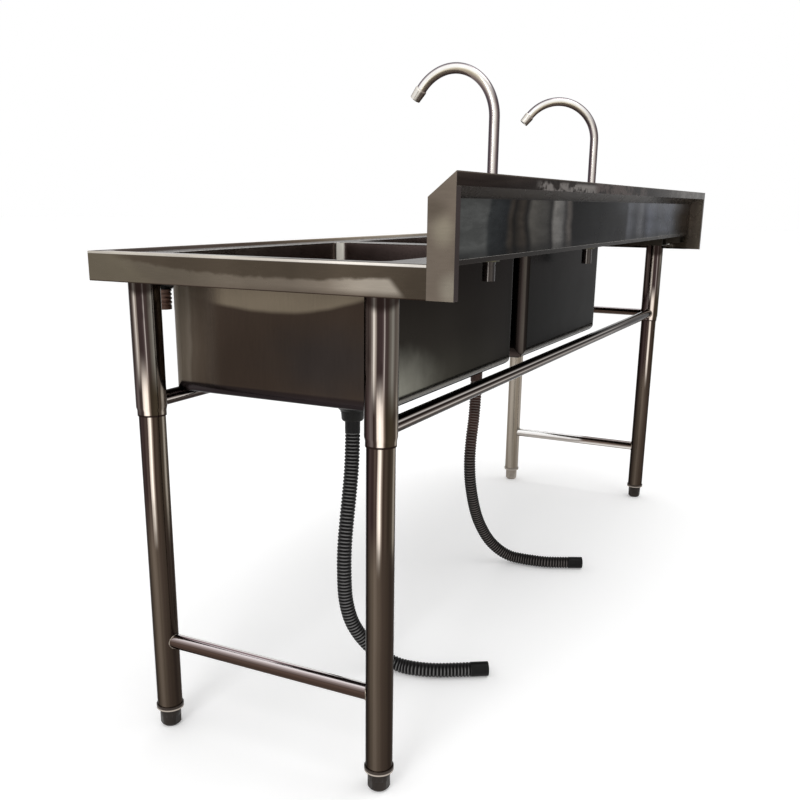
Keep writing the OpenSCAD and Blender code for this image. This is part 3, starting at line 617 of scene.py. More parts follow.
def bowl_end_wall(t, colour, near, rear, end):
    """The near bowl's end wall: a painted reflection of the worktop's arc, a lighter painted
    reflection at the front, and a cool painted reflection patch.
    """
    across = t.add(t.y, 0.045)
    wave = t.sway(0.01, (5, 9, 9), 2.0)
    arc = t.add(t.mul(across, across, 0.95), 0.714, wave)
    above = t.between(t.sub(t.z, arc), -0.003, 0.006)
    fade = t.flip(t.mul(t.between(t.z, 0.722, 0.79), 0.5))
    colour = t.mix(t.mul(end, above, fade), colour, (116, 105, 90))
    streak = t.add(t.y, t.mul(wave, 2.0))
    column = t.ramp(t.between(streak, BOWL_FRONT_Y, -0.12), COLUMN_REFLECTION_TONES)
    side = t.mul(t.until(streak, -0.16, -0.115), t.flip(rear))
    colour = t.mix(t.mul(t.between(t.nx, 0.3, 0.8), near, side, 0.9), colour, column)
    cool = t.mul(end, t.blob((0.8, 0.06, 0.645), (0.3, 0.16, 0.08)))
    return t.mix(t.mul(cool, 0.6), colour, (48, 45, 45))


def bowl_inside(t, colour, near, rear):
    # Painted reflections on the inner end and front walls
    inner_end = t.mul(t.facing(t.nx, 2.0), t.flip(near))
    colour = t.mix(inner_end, colour, (122, 106, 102))
    inner_front = t.mul(t.facing(t.ny, 2.0), t.flip(rear))
    return t.mix(inner_front, colour, t.ramp(t.between(t.x, 0.3, 0.8), INNER_FRONT_REFLECTION_TONES))


def bowl_rear_wall(t, colour, rear):
    """The rear walls: painted reflection, darker towards the top, with a painted glow of light at
    the near bowl's lower corner.
    """
    back = t.mul(t.facing(t.ny, 3.0), rear)
    colour = t.mix(back, colour, t.ramp(t.between(t.x, -0.1, 0.8), REAR_REFLECTION_TONES, False))
    high = t.mul(back, t.between(t.z, 0.66, 0.78))
    colour = t.mix(t.mul(high, 0.7), colour, (26, 22, 21))
    glow = t.blob((0.80, BOWL_REAR_Y, BOWL_FLOOR_Z + 0.004), (0.24, 0.3, 0.105), 0.15)
    colour = t.mix(t.mul(back, glow, 0.95), colour, (156, 155, 144))
    low = t.mul(back, t.until(t.z, BOWL_FLOOR_Z + 0.009, 0.68), t.between(t.x, 0.2, 0.6))
    return t.mix(t.mul(low, 0.35), colour, (84, 82, 73))


def bowl_bottom_edges(t, colour, near, drop, rear_edge):
    # Painted highlight and shade round the bottom edges
    bright = t.ramp(t.between(t.x, -0.1, 0.8), BRIGHT_EDGE_LIGHT_SHARE, False)
    line = t.mix(bright, t.ramp(drop, DIM_EDGE_LIGHT), t.ramp(drop, BRIGHT_EDGE_LIGHT))
    colour = t.mix(rear_edge, colour, line)
    end_edge = t.mul(t.between(drop, 0.04, 0.25), t.between(t.nx, 0.1, 0.3), near)
    return t.mix(end_edge, colour, t.ramp(drop, END_EDGE_SHADING))


def bowl_corners(t, colour, near, rear, corner, upright):
    """The upright rear corners: a painted highlight streak between painted dark ones, and a thin
    painted highlight at the far side.
    """
    sides = t.mul(t.window(corner, 0.16, 0.38, 0.08), rear, upright)
    colour = t.mix(t.mul(sides, 0.75), colour, (34, 30, 27))
    broken = t.add(t.mul(t.noise((3, 3, 9), 2.0), 0.9), 0.2)
    streak = t.mul(t.between(corner, 0.44, 0.495), broken, upright, rear)
    colour = t.mix(streak, colour, t.mix(near, (118, 111, 102), (206, 198, 184)))
    far_corner = t.mul(t.positive(t.mul(t.nx, -1.0)), t.positive(t.ny))
    thin = t.mul(t.between(far_corner, 0.34, 0.46), rear, upright)
    return t.mix(thin, colour, (122, 113, 106))


def bowl_extra(t, colour):
    """Painted reflections, highlights and shade outside and inside the bowls; the held painted
    highlights and the shaded wall mirror nothing.
    """
    near, rear = t.between(t.x, 0.5, 0.7), t.between(t.y, -0.1, 0.0)
    out_x, out_y = t.positive(t.nx), t.positive(t.ny)
    end = t.mul(t.facing(t.nx, 3.0), near)
    drop = t.positive(t.mul(t.nz, -1.0))
    upright = t.until(drop, 0.05, 0.3)
    corner = t.mul(out_x, out_y)
    rear_edge = t.mul(t.between(drop, 0.04, 0.3), t.between(t.ny, 0.1, 0.3), rear)

    colour = bowl_end_wall(t, colour, near, rear, end)
    colour = bowl_inside(t, colour, near, rear)
    colour = bowl_rear_wall(t, colour, rear)
    colour = bowl_bottom_edges(t, colour, near, drop, rear_edge)
    colour = bowl_corners(t, colour, near, rear, corner, upright)

    # Painted highlight on the inner front corners, held without metal
    seam = t.mul(t.between(corner, 0.2, 0.4), t.flip(rear))
    colour = t.mix(seam, colour, (244, 240, 230))
    # Painted reflection on the outer front corners
    front = t.mul(out_x, t.positive(t.mul(t.ny, -1.0)), upright)
    colour = t.mix(t.mul(t.between(front, 0.12, 0.4), 0.8), colour, (112, 102, 90))
    # Painted shade on the far bowl's end, between the bowls
    far_end = t.window(t.x, FAR_BOWL_END_X - 0.018, FAR_BOWL_END_X + 0.027, 0.01)
    colour = t.mix(t.mul(t.facing(t.nx, 2.0), far_end), colour, (30, 25, 23))
    # Held without metal: the corners' painted highlight, the rear bottom edge's dark painted
    # underside, and the shaded part of the end wall
    held_painted_light = t.most(t.mul(rear_edge, t.between(drop, 0.5, 0.7)), t.mul(seam, 0.9))
    above_floor = t.between(t.z, BOWL_FLOOR_Z + 0.004, BOWL_FLOOR_Z + 0.024)
    shaded = t.mul(end, t.until(t.y, -0.17, -0.13), above_floor, 0.8)
    return colour, t.flip(t.most(held_painted_light, shaded))


# Tones of the painted reflection in the panel's back, zone by zone, each with its place along X
PAINTED_MIRROR_ZONES = [
    (0.86, (58, 58, 57)), (0.80, (76, 77, 76)), (0.70, (84, 85, 84)), (0.688, (52, 54, 55)),
    (0.62, (38, 40, 42)), (0.60, (62, 56, 50)), (0.585, (30, 28, 27)), (0.55, (62, 56, 50)),
    (0.525, (28, 27, 27)), (0.505, (92, 89, 84)), (0.43, (76, 74, 71)), (0.405, (40, 38, 38)),
    (0.39, (134, 131, 127)), (0.345, (112, 110, 108)), (0.325, (60, 58, 58)),
    (0.30, (96, 90, 86)), (0.275, (12, 11, 12)), (0.24, (9, 9, 11)), (0.0, (12, 12, 15)),
    (-0.13, (18, 19, 23)), (-0.15, (78, 80, 86)), (-0.22, (54, 56, 63)), (-0.27, (98, 99, 104)),
    (-0.31, (40, 43, 53)), (-0.36, (90, 94, 106)), (-0.46, (70, 74, 83)), (-0.62, (90, 94, 104)),
    (-0.70, (34, 30, 28)), (-0.78, (70, 61, 54)), (-0.88, (96, 86, 76)),
]


def panel_painted_mirror(t):
    """The painted reflection's zones, bent and leaning, broken by steps, paler with painted light
    along the top, darker with painted shade along the foot and lip.
    """
    bend = t.sway(0.05, (3, 1, 16), 2.0)
    lean = t.mul(t.sub(t.z, 0.84), t.sway(1.4, (2.2, 0, 0), 1.0))
    share = t.mul(t.sub(END_X, t.add(t.x, t.add(bend, lean))), 1 / (2 * END_X))
    zones = [((END_X - x) / (2 * END_X), tone) for x, tone in PAINTED_MIRROR_ZONES]
    steps = t.ramp(t.noise((9, 0, 40), 4.0, 0.7), [(0.35, 0.78), (0.65, 1.18)])
    mirror = t.mix(1.0, t.ramp(share, zones, False), steps, "MULTIPLY")
    top = t.between(t.z, KNEE_Z - 0.037, KNEE_Z)
    mirror = t.mix(t.mul(top, t.until(t.x, -0.5, 0.1), 0.35), mirror, (150, 152, 158))
    foot = t.until(t.z, RIM_Z + 0.006, RIM_Z + 0.018)
    mirror = t.mix(t.mul(foot, 0.55), mirror, (30, 30, 31))
    lip = t.mul(t.until(t.z, RIM_Z - 0.0005, RIM_Z + 0.0015), 0.6)
    return t.mix(lip, mirror, (34, 33, 31))


def panel_slope(t, colour):
    """The underside of the slope above the mirror: a brown painted reflection, paler towards the
    near end, with painted shade where it meets the panel.
    """
    slope = t.mul(t.facing(t.nz, 0.7, -1.0), t.between(t.z, 0.82, 0.87))
    tone = t.ramp(t.between(t.x, -0.40, -0.22), [(0.0, (70, 64, 59)), (1.0, (94, 85, 78))])
    tone = t.mix(t.until(t.y, PANEL_Y + 0.001, PANEL_Y + 0.006), tone, (44, 38, 35))
    return t.mix(slope, colour, tone)


def folded_edge(t, colour, back):
    """The outer face of the folded edge, with its painted highlight line and patches of torn film.
    """
    outer = t.mul(back, t.between(t.y, BACK_Y - 0.015, BACK_Y - 0.005))
    face = t.ramp(t.noise((3, 8, 60), 3.0), [(0.35, (38, 32, 30)), (0.65, (58, 50, 46))])
    colour = t.mix(outer, colour, face)
    line = t.mul(outer, t.between(t.z, TOP_Z - 0.0025, TOP_Z - 0.0008))
    colour = t.mix(t.mul(line, 0.6), colour, (128, 118, 108))
    film = t.between(t.noise((30, 22, 55), 5.0, 0.62), 0.44, 0.56)
    low = t.until(t.z, TOP_Z - 0.008, TOP_Z - 0.002)
    pale = t.mul(film, t.window(t.x, 0.29, 0.56, 0.05), low)
    colour = t.mix(t.mul(outer, pale, 0.75), colour, (150, 144, 140))
    reddish = t.mul(film, t.window(t.x, -0.12, 0.25, 0.04))
    colour = t.mix(t.mul(outer, reddish, 0.6), colour, (104, 92, 88))
    far = t.until(t.x, -0.62, -0.25)
    return t.mix(t.mul(outer, far, t.add(t.mul(film, 0.4), 0.45)), colour, (140, 136, 132))


def panel_extra(t, colour):
    """The painted reflection in the panel's back, the slope above it and the folded edge."""
    back = t.facing(t.ny, 3.0)
    inner = t.mul(back, t.until(t.y, BACK_Y - 0.025, BACK_Y - 0.015))
    colour = t.mix(inner, colour, panel_painted_mirror(t))
    return folded_edge(t, panel_slope(t, colour), back)


# Each sheet's six tones, one for each way it faces, are painted reflections of its surroundings
SHEET = sheet_steel(
    "steel_worktop", reflection_tones((76, 67, 57), (112, 103, 92), (60, 54, 50), (112, 105, 96),
                           (98, 90, 86), (62, 54, 48)),
    extra=worktop_extra, upper=(238, 234, 228), lower=(48, 36, 31), edges=0.9)
CAPS = sheet_steel(
    "steel_caps", reflection_tones((108, 98, 88), (92, 83, 75), (58, 50, 49), (96, 88, 79),
                        (132, 126, 118), (70, 62, 55)),
    cloud=(4, 9, 8), extra=cap_extra)
PANEL = sheet_steel(
    "steel_panel", reflection_tones((92, 83, 75), (92, 83, 75), (54, 50, 48), (116, 110, 102),
                         (128, 122, 114), (90, 81, 74)),
    extra=panel_extra, grain=(8, 900, 900), upper=(120, 112, 104), lower=(30, 27, 25), tint=0.47,
    depth=0.000003)
BOWLS = sheet_steel(
    "steel_bowls", reflection_tones((60, 50, 43), (58, 50, 44), (44, 42, 39), (82, 72, 62),
                         (96, 90, 84), (44, 39, 36)),
    grain=(600, 600, 40), cloud=(3, 3.4, 2.4), rough=0.24, extra=bowl_extra, edges=0, tint=0.49)
CHANNELS = sheet_steel(
    "steel_channels", reflection_tones((74, 68, 60), (74, 68, 60), (64, 58, 52), (78, 71, 63),
                            (100, 94, 86), (58, 52, 46)),
    rough=0.34)


def leg_seam_and_painted_shade(t):
    """The dark seam at an upper leg's mouth, a painted reflection of the skirt in its top, and soft
    painted dark patches.
    """
    seam = t.window(t.z, MOUTH_Z - 0.0002, MOUTH_Z + 0.0022, 0.0012)
    sag = t.mul(t.positive(t.toward_camera()), 0.014)
    top = t.between(t.add(t.z, sag), SKIRT_Z - 0.012, SKIRT_Z + 0.001)
    patch = t.between(t.noise((26, 26, 7), 3.0, 0.6), 0.54, 0.64)
    return t.most(seam, t.mul(top, 0.85), t.mul(patch, 0.5))


# Painted reflection streaks and highlights of the tubes: tones by angle in degrees
HIDDEN = [
    (-180, (60, 50, 44)), (-165, (128, 118, 108)), (-152, (84, 74, 66)), (-138, (206, 198, 186)),
    (-128, (96, 84, 75)), (-110, (52, 42, 36)), (-90, (110, 100, 90)), (-75, (70, 60, 52)),
]
BEYOND = [
    (112, (60, 48, 40)), (128, (150, 140, 130)), (140, (84, 74, 66)), (158, (110, 100, 90)),
    (180, (60, 50, 44)),
]
LEG_TOP = HIDDEN + [
    (-55, (26, 18, 16)), (-44, (46, 37, 34)), (-34, (72, 62, 58)), (-24, (52, 43, 40)),
    (-12, (78, 68, 63)), (-5, (150, 140, 132)), (0, (230, 221, 210)), (6, (150, 138, 128)),
    (12, (56, 45, 43)), (26, (60, 48, 47)), (32, (84, 72, 70)), (35, (180, 169, 163)),
    (38, (70, 58, 56)), (46, (62, 52, 48)), (56, (94, 88, 81)), (64, (122, 118, 110)),
    (76, (82, 74, 68)), (94, (108, 100, 92)),
] + BEYOND
LEG_MOUTH = HIDDEN + [
    (-55, (28, 19, 16)), (-40, (36, 26, 24)), (-25, (62, 49, 48)), (-10, (94, 84, 81)),
    (1, (44, 33, 30)), (8, (62, 52, 48)), (14, (222, 207, 194)), (21, (244, 231, 218)),
    (30, (232, 216, 202)), (36, (112, 97, 86)), (42, (48, 40, 31)), (60, (58, 50, 39)),
    (78, (60, 51, 42)), (88, (158, 148, 136)), (100, (104, 94, 84)),
] + BEYOND
LEG_HIGH = HIDDEN + [
    (-55, (22, 15, 13)), (-32, (28, 19, 18)), (-17, (58, 46, 44)), (-4, (46, 35, 33)),
    (8, (68, 56, 51)), (14, (54, 42, 38)), (20, (200, 187, 175)), (27, (240, 228, 215)),
    (34, (122, 108, 97)), (39, (52, 41, 35)), (50, (62, 52, 44)), (62, (44, 36, 29)),
    (78, (60, 52, 43)), (90, (146, 137, 125)), (102, (84, 76, 66)),
] + BEYOND
LEG_SOFT = HIDDEN + [
    (-50, (26, 20, 18)), (-36, (34, 28, 25)), (-20, (58, 49, 42)), (-4, (80, 70, 60)),
    (10, (92, 81, 71)), (26, (74, 64, 55)), (42, (60, 50, 43)), (58, (54, 45, 38)),
    (76, (44, 36, 31)), (94, (58, 50, 44)),
] + BEYOND
# The far front leg, paler with painted light
LEG_LIT_PALE = HIDDEN + [
    (-50, (150, 141, 128)), (-30, (118, 109, 98)), (-10, (150, 141, 130)), (6, (158, 149, 137)),
    (24, (138, 129, 117)), (42, (122, 112, 99)), (60, (132, 123, 112)), (80, (150, 142, 132)),
    (100, (170, 162, 152)),
] + BEYOND
CROSS = [
    (-180, (74, 64, 58)), (-150, (150, 140, 132)), (-120, (60, 50, 44)), (-90, (76, 66, 60)),
    (-52, (104, 93, 87)), (-26, (72, 59, 52)), (-5, (66, 52, 45)), (18, (76, 61, 54)),
    (30, (116, 102, 98)), (42, (168, 155, 153)), (52, (218, 208, 209)), (66, (232, 224, 225)),
    (74, (160, 145, 148)), (79, (104, 78, 82)), (84, (150, 130, 132)), (94, (242, 238, 236)),
    (116, (232, 228, 224)), (130, (120, 110, 104)), (156, (130, 120, 112)), (180, (74, 64, 58)),
]
# The far cross rail, paler with painted light, with other painted streaks on its rear half
CROSS_LIT_PALE = [
    (-180, (190, 184, 178)), (-90, (180, 172, 166)), (-30, (186, 180, 174)),
    (-8, (168, 160, 154)), (10, (226, 222, 218)), (26, (250, 249, 247)), (80, (250, 249, 248)),
    (110, (214, 208, 202)), (150, (196, 190, 184)), (180, (190, 184, 178)),
]
CROSS_DIM = [
    (-180, (120, 110, 104)), (-90, (150, 140, 132)), (-50, (164, 154, 148)),
    (-22, (244, 240, 235)), (-10, (178, 166, 158)), (6, (98, 82, 72)), (24, (112, 97, 90)),
    (40, (150, 138, 133)), (56, (176, 166, 162)), (78, (130, 121, 119)), (110, (96, 84, 80)),
    (150, (140, 130, 124)), (180, (120, 110, 104)),
]
RAIL = [
    (-180, (52, 44, 40)), (-150, (96, 86, 78)), (-120, (40, 32, 28)), (-90, (70, 60, 54)),
    (-62, (92, 84, 79)), (-44, (52, 44, 41)), (-26, (62, 54, 50)), (-14, (92, 84, 79)),
    (-5, (196, 189, 182)), (3, (104, 95, 90)), (12, (36, 28, 26)), (22, (48, 40, 38)),
    (30, (204, 198, 192)), (35, (150, 143, 138)), (42, (24, 18, 15)), (56, (26, 19, 18)),
    (84, (20, 15, 13)), (98, (52, 46, 41)), (106, (120, 113, 106)), (120, (90, 80, 74)),
    (150, (60, 50, 46)), (180, (52, 44, 40)),
]
RAIL_END = [
    (-180, (52, 44, 40)), (-120, (60, 50, 46)), (-70, (96, 88, 84)), (-43, (100, 92, 89)),
    (-17, (60, 51, 50)), (1, (32, 26, 26)), (13, (38, 31, 31)), (24, (54, 47, 45)),
    (36, (84, 77, 74)), (50, (116, 110, 106)), (64, (140, 134, 130)), (80, (162, 157, 153)),
    (110, (196, 192, 188)), (130, (120, 112, 106)), (180, (52, 44, 40)),
]


def below_ragged(low, high, ragged):
    """A share of a tube's surface below a height, with an uneven border."""
    return lambda t: t.until(t.add(t.z, t.mul(t.noise((9, 9, 7)), ragged)), low, high)


def behind_ragged(t):
    return t.between(t.add(t.y, t.mul(t.noise((9, 30, 9)), 0.1)), 0.01, 0.08)


LEG_UP = tube_steel("steel_upper_legs", "z", LEG_TOP, seed=3.1, second=LEG_MOUTH,
                    dark=leg_seam_and_painted_shade, where=below_ragged(0.64, 0.71, 0.1))
LEG_LOW = tube_steel("steel_lower_legs", "z", LEG_HIGH, seed=7.7, second=LEG_SOFT, rough=0.16,
                     where=below_ragged(0.40, 0.52, 0.16))
LEG_FAR = tube_steel("steel_far_leg", "z", LEG_LIT_PALE, seed=5.2, rough=0.2)
RAIL_X = tube_steel("steel_long_rails", "x", RAIL, waver=0.03, seed=1.3, rough=0.1,
                    second=RAIL_END, where=lambda t: t.until(t.x, -0.62, -0.30))
RAIL_Y = tube_steel("steel_cross_rails", "y", CROSS, waver=0.04, seed=2.4, rough=0.12)
RAIL_FAR = tube_steel("steel_far_rail", "y", CROSS_LIT_PALE, waver=0.03, seed=8.8, second=CROSS_DIM,
                      where=behind_ragged)


# Taps: the neck's radius and centre height, the spouts' places, and how far each is turned

NECK_R, NECK_Z, TAP_Y = 0.077, 1.003, 0.202
TAPS = {"right": (0.529, -8), "left": (-0.051, 25)}
# Painted highlight and shade across a tube, from its inner edge at -1 to its outer edge at 1
RISER = [
    (-1.0, (46, 34, 42)), (-0.8, (64, 50, 58)), (-0.62, (98, 84, 88)), (-0.46, (170, 160, 158)),
    (-0.3, (238, 232, 224)), (0.0, (240, 234, 226)), (0.2, (186, 178, 172)),
    (0.42, (122, 108, 106)), (0.62, (72, 58, 62)), (0.8, (46, 34, 40)), (1.0, (36, 25, 31)),
]
NECK = [
    (-1.0, (88, 70, 72)), (-0.78, (112, 95, 91)), (-0.55, (138, 124, 112)),
    (-0.2, (176, 164, 144)), (-0.02, (222, 214, 194)), (0.14, (250, 248, 243)),
    (0.58, (250, 248, 245)), (0.74, (172, 162, 164)), (0.86, (78, 66, 76)), (1.0, (52, 41, 52)),
]
NOZZLE = [
    (-1.0, (84, 72, 64)), (-0.7, (104, 92, 82)), (-0.45, (150, 138, 128)),
    (-0.25, (120, 108, 98)), (-0.12, (190, 182, 170)), (0.12, (226, 221, 212)),
    (0.3, (176, 168, 158)), (0.45, (236, 233, 226)), (0.8, (224, 218, 209)),
    (1.0, (120, 110, 106)),
]
# The tail below the deck: dark, with a painted highlight line
TAIL_STOPS = [
    (0.0, (44, 37, 35)), (0.34, (50, 42, 40)), (0.40, (178, 171, 164)), (0.45, (60, 52, 48)),
    (0.7, (76, 70, 65)), (0.8, (40, 34, 32)), (1.0, (34, 28, 27)),
]


def across_tap(t, side):
    """Where the surface lies across the tube as the camera sees it, and how much it is the bend."""
    x, turn = TAPS[side]
    s, c = math.sin(math.radians(turn)), math.cos(math.radians(turn))
    out = t.add(t.mul(t.sub(t.x, x + NECK_R * s), -s), t.mul(t.sub(t.y, TAP_Y - NECK_R * c), c))
    up = t.positive(t.sub(t.z, NECK_Z))
    far = t.math("SQRT", t.add(t.mul(out, out), t.mul(up, up)))
    a, b = t.math("DIVIDE", out, far), t.math("DIVIDE", up, far)
    n_out = t.add(t.mul(a, t.add(t.mul(t.nx, -s), t.mul(t.ny, c))), t.mul(b, t.nz))
    n_side = t.add(t.mul(t.nx, c), t.mul(t.ny, s))
    v_out = t.add(t.mul(a, TOWARD[1] * c - TOWARD[0] * s), t.mul(b, TOWARD[2]))
    v_side = TOWARD[0] * c + TOWARD[1] * s
    length = t.math("SQRT", t.add(t.mul(v_out, v_out), v_side * v_side))
    across = t.math("DIVIDE", t.sub(t.mul(n_out, v_side), t.mul(n_side, v_out)), length)
    return across, t.most(t.between(b, 0.25, 0.95), t.until(a, -0.2, 0.2))


def tap_steel(name, side, neck=NECK, rough=0.12):
    """Chrome of a tap: painted shade on the outer edge, a painted highlight band and a dimmer inner
    side, and a dark tail with a painted highlight line.
    """
    t = Tree(name)
    across, bend = across_tap(t, side)
    share = t.mul(t.add(across, t.sway(0.12, (6, 6, 9), 2.0), 1.0), 0.5)
    riser, bent = (t.ramp(share, [((p + 1) / 2, tone) for p, tone in stops])
                   for stops in (RISER, neck))
    colour = t.mix(bend, riser, bent)
    tail = t.until(t.z, RIM_Z - 0.01, RIM_Z - 0.0055)
    colour = t.mix(tail, colour, t.ramp(share, TAIL_STOPS))
    return steel_finish(t, colour, t.noise((50, 50, 50), 1.0), rough, 0.6, 0.000002, 12, 0.06,
                        metal=0.5)


SPOUTS = {side: tap_steel(f"steel_spout_{side}", side) for side in SIDES}
NOZZLES = {side: tap_steel(f"steel_nozzle_{side}", side, NOZZLE, 0.32) for side in SIDES}
FITTINGS = plain_metal("steel_fittings", (150, 145, 137), (206, 202, 195), 0.22)
ZINC = plain_metal("zinc_plate", (150, 148, 142), (200, 198, 192), 0.36, 90)
TAP_NUTS = plain_metal("tap_nut_zinc", (66, 63, 50), (98, 95, 78), 0.4, 120)
BRASS = plain_metal("brass", (150, 118, 58), (206, 176, 106), 0.28, 60)
WELDS = plain_metal("weld_metal", (104, 94, 86), (172, 161, 148), 0.34, 300)
PLASTIC = moulded("black_plastic", (16, 16, 15), (32, 31, 29), 0.40, gloss=0.12)
FOOT_PLASTIC = moulded("foot_plastic", (30, 25, 22), (46, 39, 34), 0.40)
# The far front foot, painted paler for the bright light on that corner
FOOT_LIT_PALE = moulded("lit_pale_foot_plastic", (146, 137, 127), (178, 169, 159), 0.5)
COLLARS = moulded("collar_plastic", (44, 36, 31), (66, 56, 49), 0.34, extra=collar_extra)
# ribs is the tone of each hose's painted rib highlight
HOSE = moulded("black_hose", (7, 7, 7), (15, 14, 14), 0.30, 300, ribs=(140, 139, 138), gloss=0.08)
HOSE_FAR = moulded(
    "brown_black_hose", (8, 7, 7), (17, 15, 14), 0.32, 300, ribs=(128, 121, 117), gloss=0.08,
    brown=lambda t: t.between(t.add(t.z, t.mul(t.noise((9, 9, 9)), 0.1)), 0.30, 0.42))
CUFFS = moulded("hose_cuff", (10, 10, 10), (24, 23, 23), 0.34, gloss=0.12)
TAIL = moulded("brown_hose", (112, 84, 72), (160, 132, 118), 0.36, 300)
RUBBER = moulded("rubber", (22, 22, 22), (38, 38, 38), 0.62, 260)

LOOKS = {
    "worktop": SHEET, "splash_panel": PANEL, "platform_stiffener": CHANNELS, "leg_fixings": ZINC,
    "front_rail": RAIL_X, "rear_rail": RAIL_X, "end_rail_left": RAIL_Y,
    "cross_rail_right": RAIL_Y, "cross_rail_left": RAIL_FAR, "foot_inserts": COLLARS,
    "drain_gaskets": RUBBER, "overflow_rosettes": FITTINGS, "overflow_elbows": PLASTIC,
    "overflow_tails": TAIL, "tap_bases": FITTINGS, "tap_washers": TAP_NUTS, "tap_nuts": TAP_NUTS,
}
for side in SIDES:
    LOOKS.update({
        f"splash_cap_{side}": CAPS, f"bowl_{side}": BOWLS, f"end_channel_{side}": CHANNELS,
        f"drain_flange_{side}": FITTINGS, f"drain_cup_{side}": PLASTIC,
        f"hose_nut_{side}": PLASTIC, f"strainer_{side}": FITTINGS,
        f"hose_cuff_{side}": CUFFS, f"tap_body_{side}": SPOUTS[side],
        f"cartridge_{side}": BRASS, f"lever_{side}": SPOUTS[side],
        f"spout_{side}": SPOUTS[side], f"spout_nut_{side}": SPOUTS[side],
        f"nozzle_{side}": NOZZLES[side],
    })
for f, side in LEGS:
    LOOKS.update({f"upper_leg_{f}_{side}": LEG_UP, f"lower_leg_{f}_{side}": LEG_LOW,
                  f"foot_{f}_{side}": FOOT_PLASTIC})
LOOKS.update({"lower_leg_front_left": LEG_FAR, "foot_front_left": FOOT_LIT_PALE})


def dress(obj, material):
    obj.data.materials.clear()
    obj.data.materials.append(material)


for name, material in LOOKS.items():
    dress(NODES[name], material)
dress(HOSES["right"], HOSE)
dress(HOSES["left"], HOSE_FAR)


# Soft edges on the CAD solids

def soften(obj, width):
    """Rounds the node's sharp edges with modifiers; its mesh stays as it is."""
    weld = obj.modifiers.new("weld", "WELD")
    weld.merge_threshold = 0.00001
    bevel = obj.modifiers.new("bevel", "BEVEL")
    bevel.width = width
    bevel.segments = 2
    bevel.limit_method = "ANGLE"
    bevel.angle_limit = math.radians(35)
    bevel.harden_normals = True
    bevel.use_clamp_overlap = True


SOFT = {"worktop": 0.0008, "splash_panel": 0.0006}
for side in SIDES:
    SOFT[f"splash_cap_{side}"] = 0.0005
for f, side in LEGS:
    SOFT[f"foot_{f}_{side}"] = 0.0008
for side in SIDES:
    SOFT[f"nozzle_{side}"] = 0.0003
    SOFT[f"lever_{side}"] = 0.001
    SOFT[f"spout_nut_{side}"] = 0.0004
for name, width in SOFT.items():
    soften(NODES[name], width)


# Weld beads where the rails meet the legs

UPPER_LEG_R, LOWER_LEG_R = 0.024, 0.021
LONG_RAIL_R, CROSS_RAIL_R, END_RAIL_R = 0.012, 0.0125, 0.010
RAIL_Z, CROSS_Z = 0.57, 0.16
BEAD_R, BEAD_SIDES, BEAD_STEPS = 0.0011, 8, 48


def weld_bead(name, leg, leg_r, rail_r, along, z):
    """A rippled bead on the seam of a rail and a leg; along points out of the leg."""
    foot = Vector((leg[0], leg[1], z))
    out_, up = Vector(along), Vector((0, 0, 1))
    across = up.cross(out_)
    points = []
    for i in range(BEAD_STEPS):
        a = 2 * math.pi * i / BEAD_STEPS
        off, rise = rail_r * math.cos(a), rail_r * math.sin(a)
        o = foot + off * across + rise * up + math.sqrt(leg_r * leg_r - off * off) * out_
        radial = (math.cos(a) * across + math.sin(a) * up).normalized()
        r = BEAD_R * (1 + 0.16 * math.sin(13 * a) + 0.08 * math.sin(31 * a + 1))
        for k in range(BEAD_SIDES):
            b = 2 * math.pi * k / BEAD_SIDES
            points.append(o + r * (math.cos(b) * radial + math.sin(b) * out_))
    bead = add_mesh(name, points, ring_faces(BEAD_STEPS, BEAD_SIDES, closed=True))
    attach(bead, "stand")
    dress(bead, WELDS)


for x, inward in ((LEG_X, -1), (-LEG_X, 1)):
    side = "right" if x > 0 else "left"
    for y, end in ((LEG_FRONT, "front"), (LEG_REAR, "rear")):
        weld_bead(f"weld_{end}_rail_{side}", (x, y), UPPER_LEG_R, LONG_RAIL_R,
                  (inward, 0, 0), RAIL_Z)
        weld_bead(f"weld_cross_rail_{end}_{side}", (x, y), LOWER_LEG_R, CROSS_RAIL_R,
                  (0, 1 if y < 0 else -1, 0), CROSS_Z)
for y, end in ((LEG_FRONT, "front"), (LEG_REAR, "rear")):
    weld_bead(f"weld_end_rail_{end}", (-LEG_X, y), UPPER_LEG_R, END_RAIL_R,
              (0, 1 if y < 0 else -1, 0), RAIL_Z)


# Studio

FLOOR_HALF = 40
WHITE = (1, 1, 1, 1)


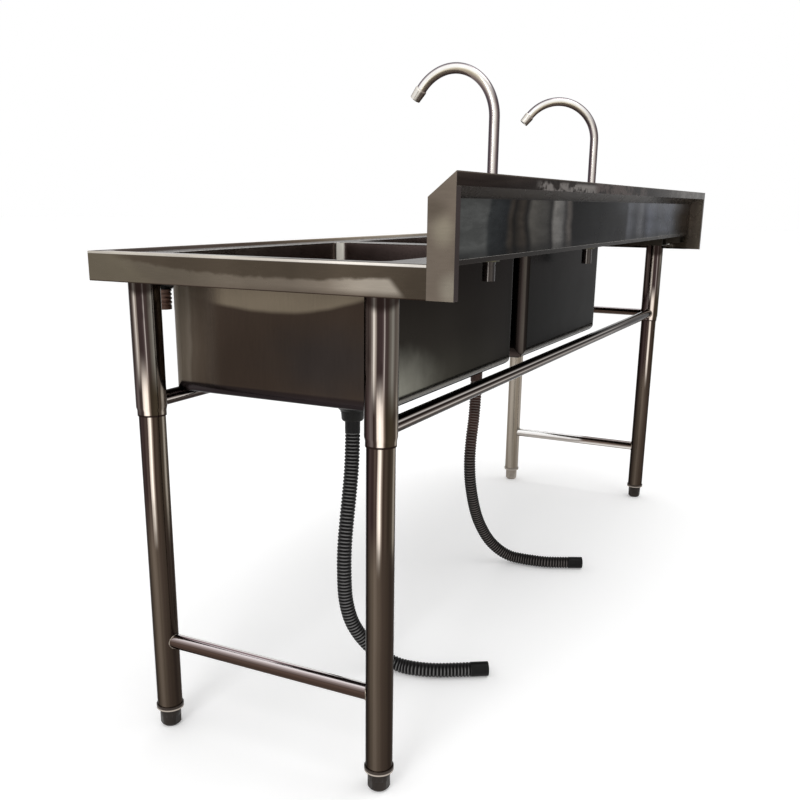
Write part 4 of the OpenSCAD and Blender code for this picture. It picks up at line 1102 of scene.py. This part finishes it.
def camera_share(tree):
    """1 for camera rays, and for glossy and see-through ones as well, else 0."""
    ray = tree.nodes.new("ShaderNodeLightPath")
    out = ray.outputs["Is Camera Ray"]
    for name in ("Is Glossy Ray", "Is Transmission Ray"):
        most = tree.nodes.new("ShaderNodeMath")
        most.operation = "MAXIMUM"
        tree.links.new(out, most.inputs[0])
        tree.links.new(ray.outputs[name], most.inputs[1])
        out = most.outputs[0]
    return out


def make_floor():
    h = FLOOR_HALF
    corners = [(-h, -h, 0), (h, -h, 0), (h, h, 0), (-h, h, 0)]
    floor = add_mesh("floor", corners, [(0, 1, 2, 3)], smooth=False)
    t = Tree("pale_floor")
    seen = camera_share(t.tree)
    speck = t.ramp(t.noise((3, 3, 3), 2.0), [(0.3, 0.86), (0.7, 0.88)])
    t.shader_set(Base_Color=t.mix(seen, speck, (255, 255, 255)), Roughness=0.9,
                 Specular_IOR_Level=0.1, Emission_Color=WHITE, Emission_Strength=t.mul(seen, 0.15))
    dress(floor, t.material)


def make_backdrop():
    world = bpy.data.worlds.new("studio")
    bpy.context.scene.world = world
    world.use_nodes = True
    tree = world.node_tree
    back = tree.nodes["Background"]
    back.inputs["Color"].default_value = WHITE
    strength = tree.nodes.new("ShaderNodeMapRange")
    strength.inputs["To Min"].default_value = 0.85
    strength.inputs["To Max"].default_value = 1.0
    tree.links.new(camera_share(tree), strength.inputs["Value"])
    tree.links.new(strength.outputs[0], back.inputs["Strength"])


def softbox(name, where, target, size, power):
    data = bpy.data.lights.new(name, "AREA")
    data.shape = "RECTANGLE"
    data.size, data.size_y = size
    data.energy = power
    lamp = bpy.data.objects.new(name, data)
    lamp.location = where
    lamp.rotation_mode = "QUATERNION"
    lamp.rotation_quaternion = (Vector(target) - Vector(where)).to_track_quat("-Z", "Y")
    bpy.context.scene.collection.objects.link(lamp)


make_floor()
make_backdrop()
softbox("key_light", (3.4, 0.2, 2.1), (0, 0, 0.5), (1.0, 2.2), 30)
softbox("top_light", (-0.4, 0.6, 3.4), (0, 0, 0.6), (2.6, 1.6), 25)
bpy.context.scene.view_settings.view_transform = "Standard"
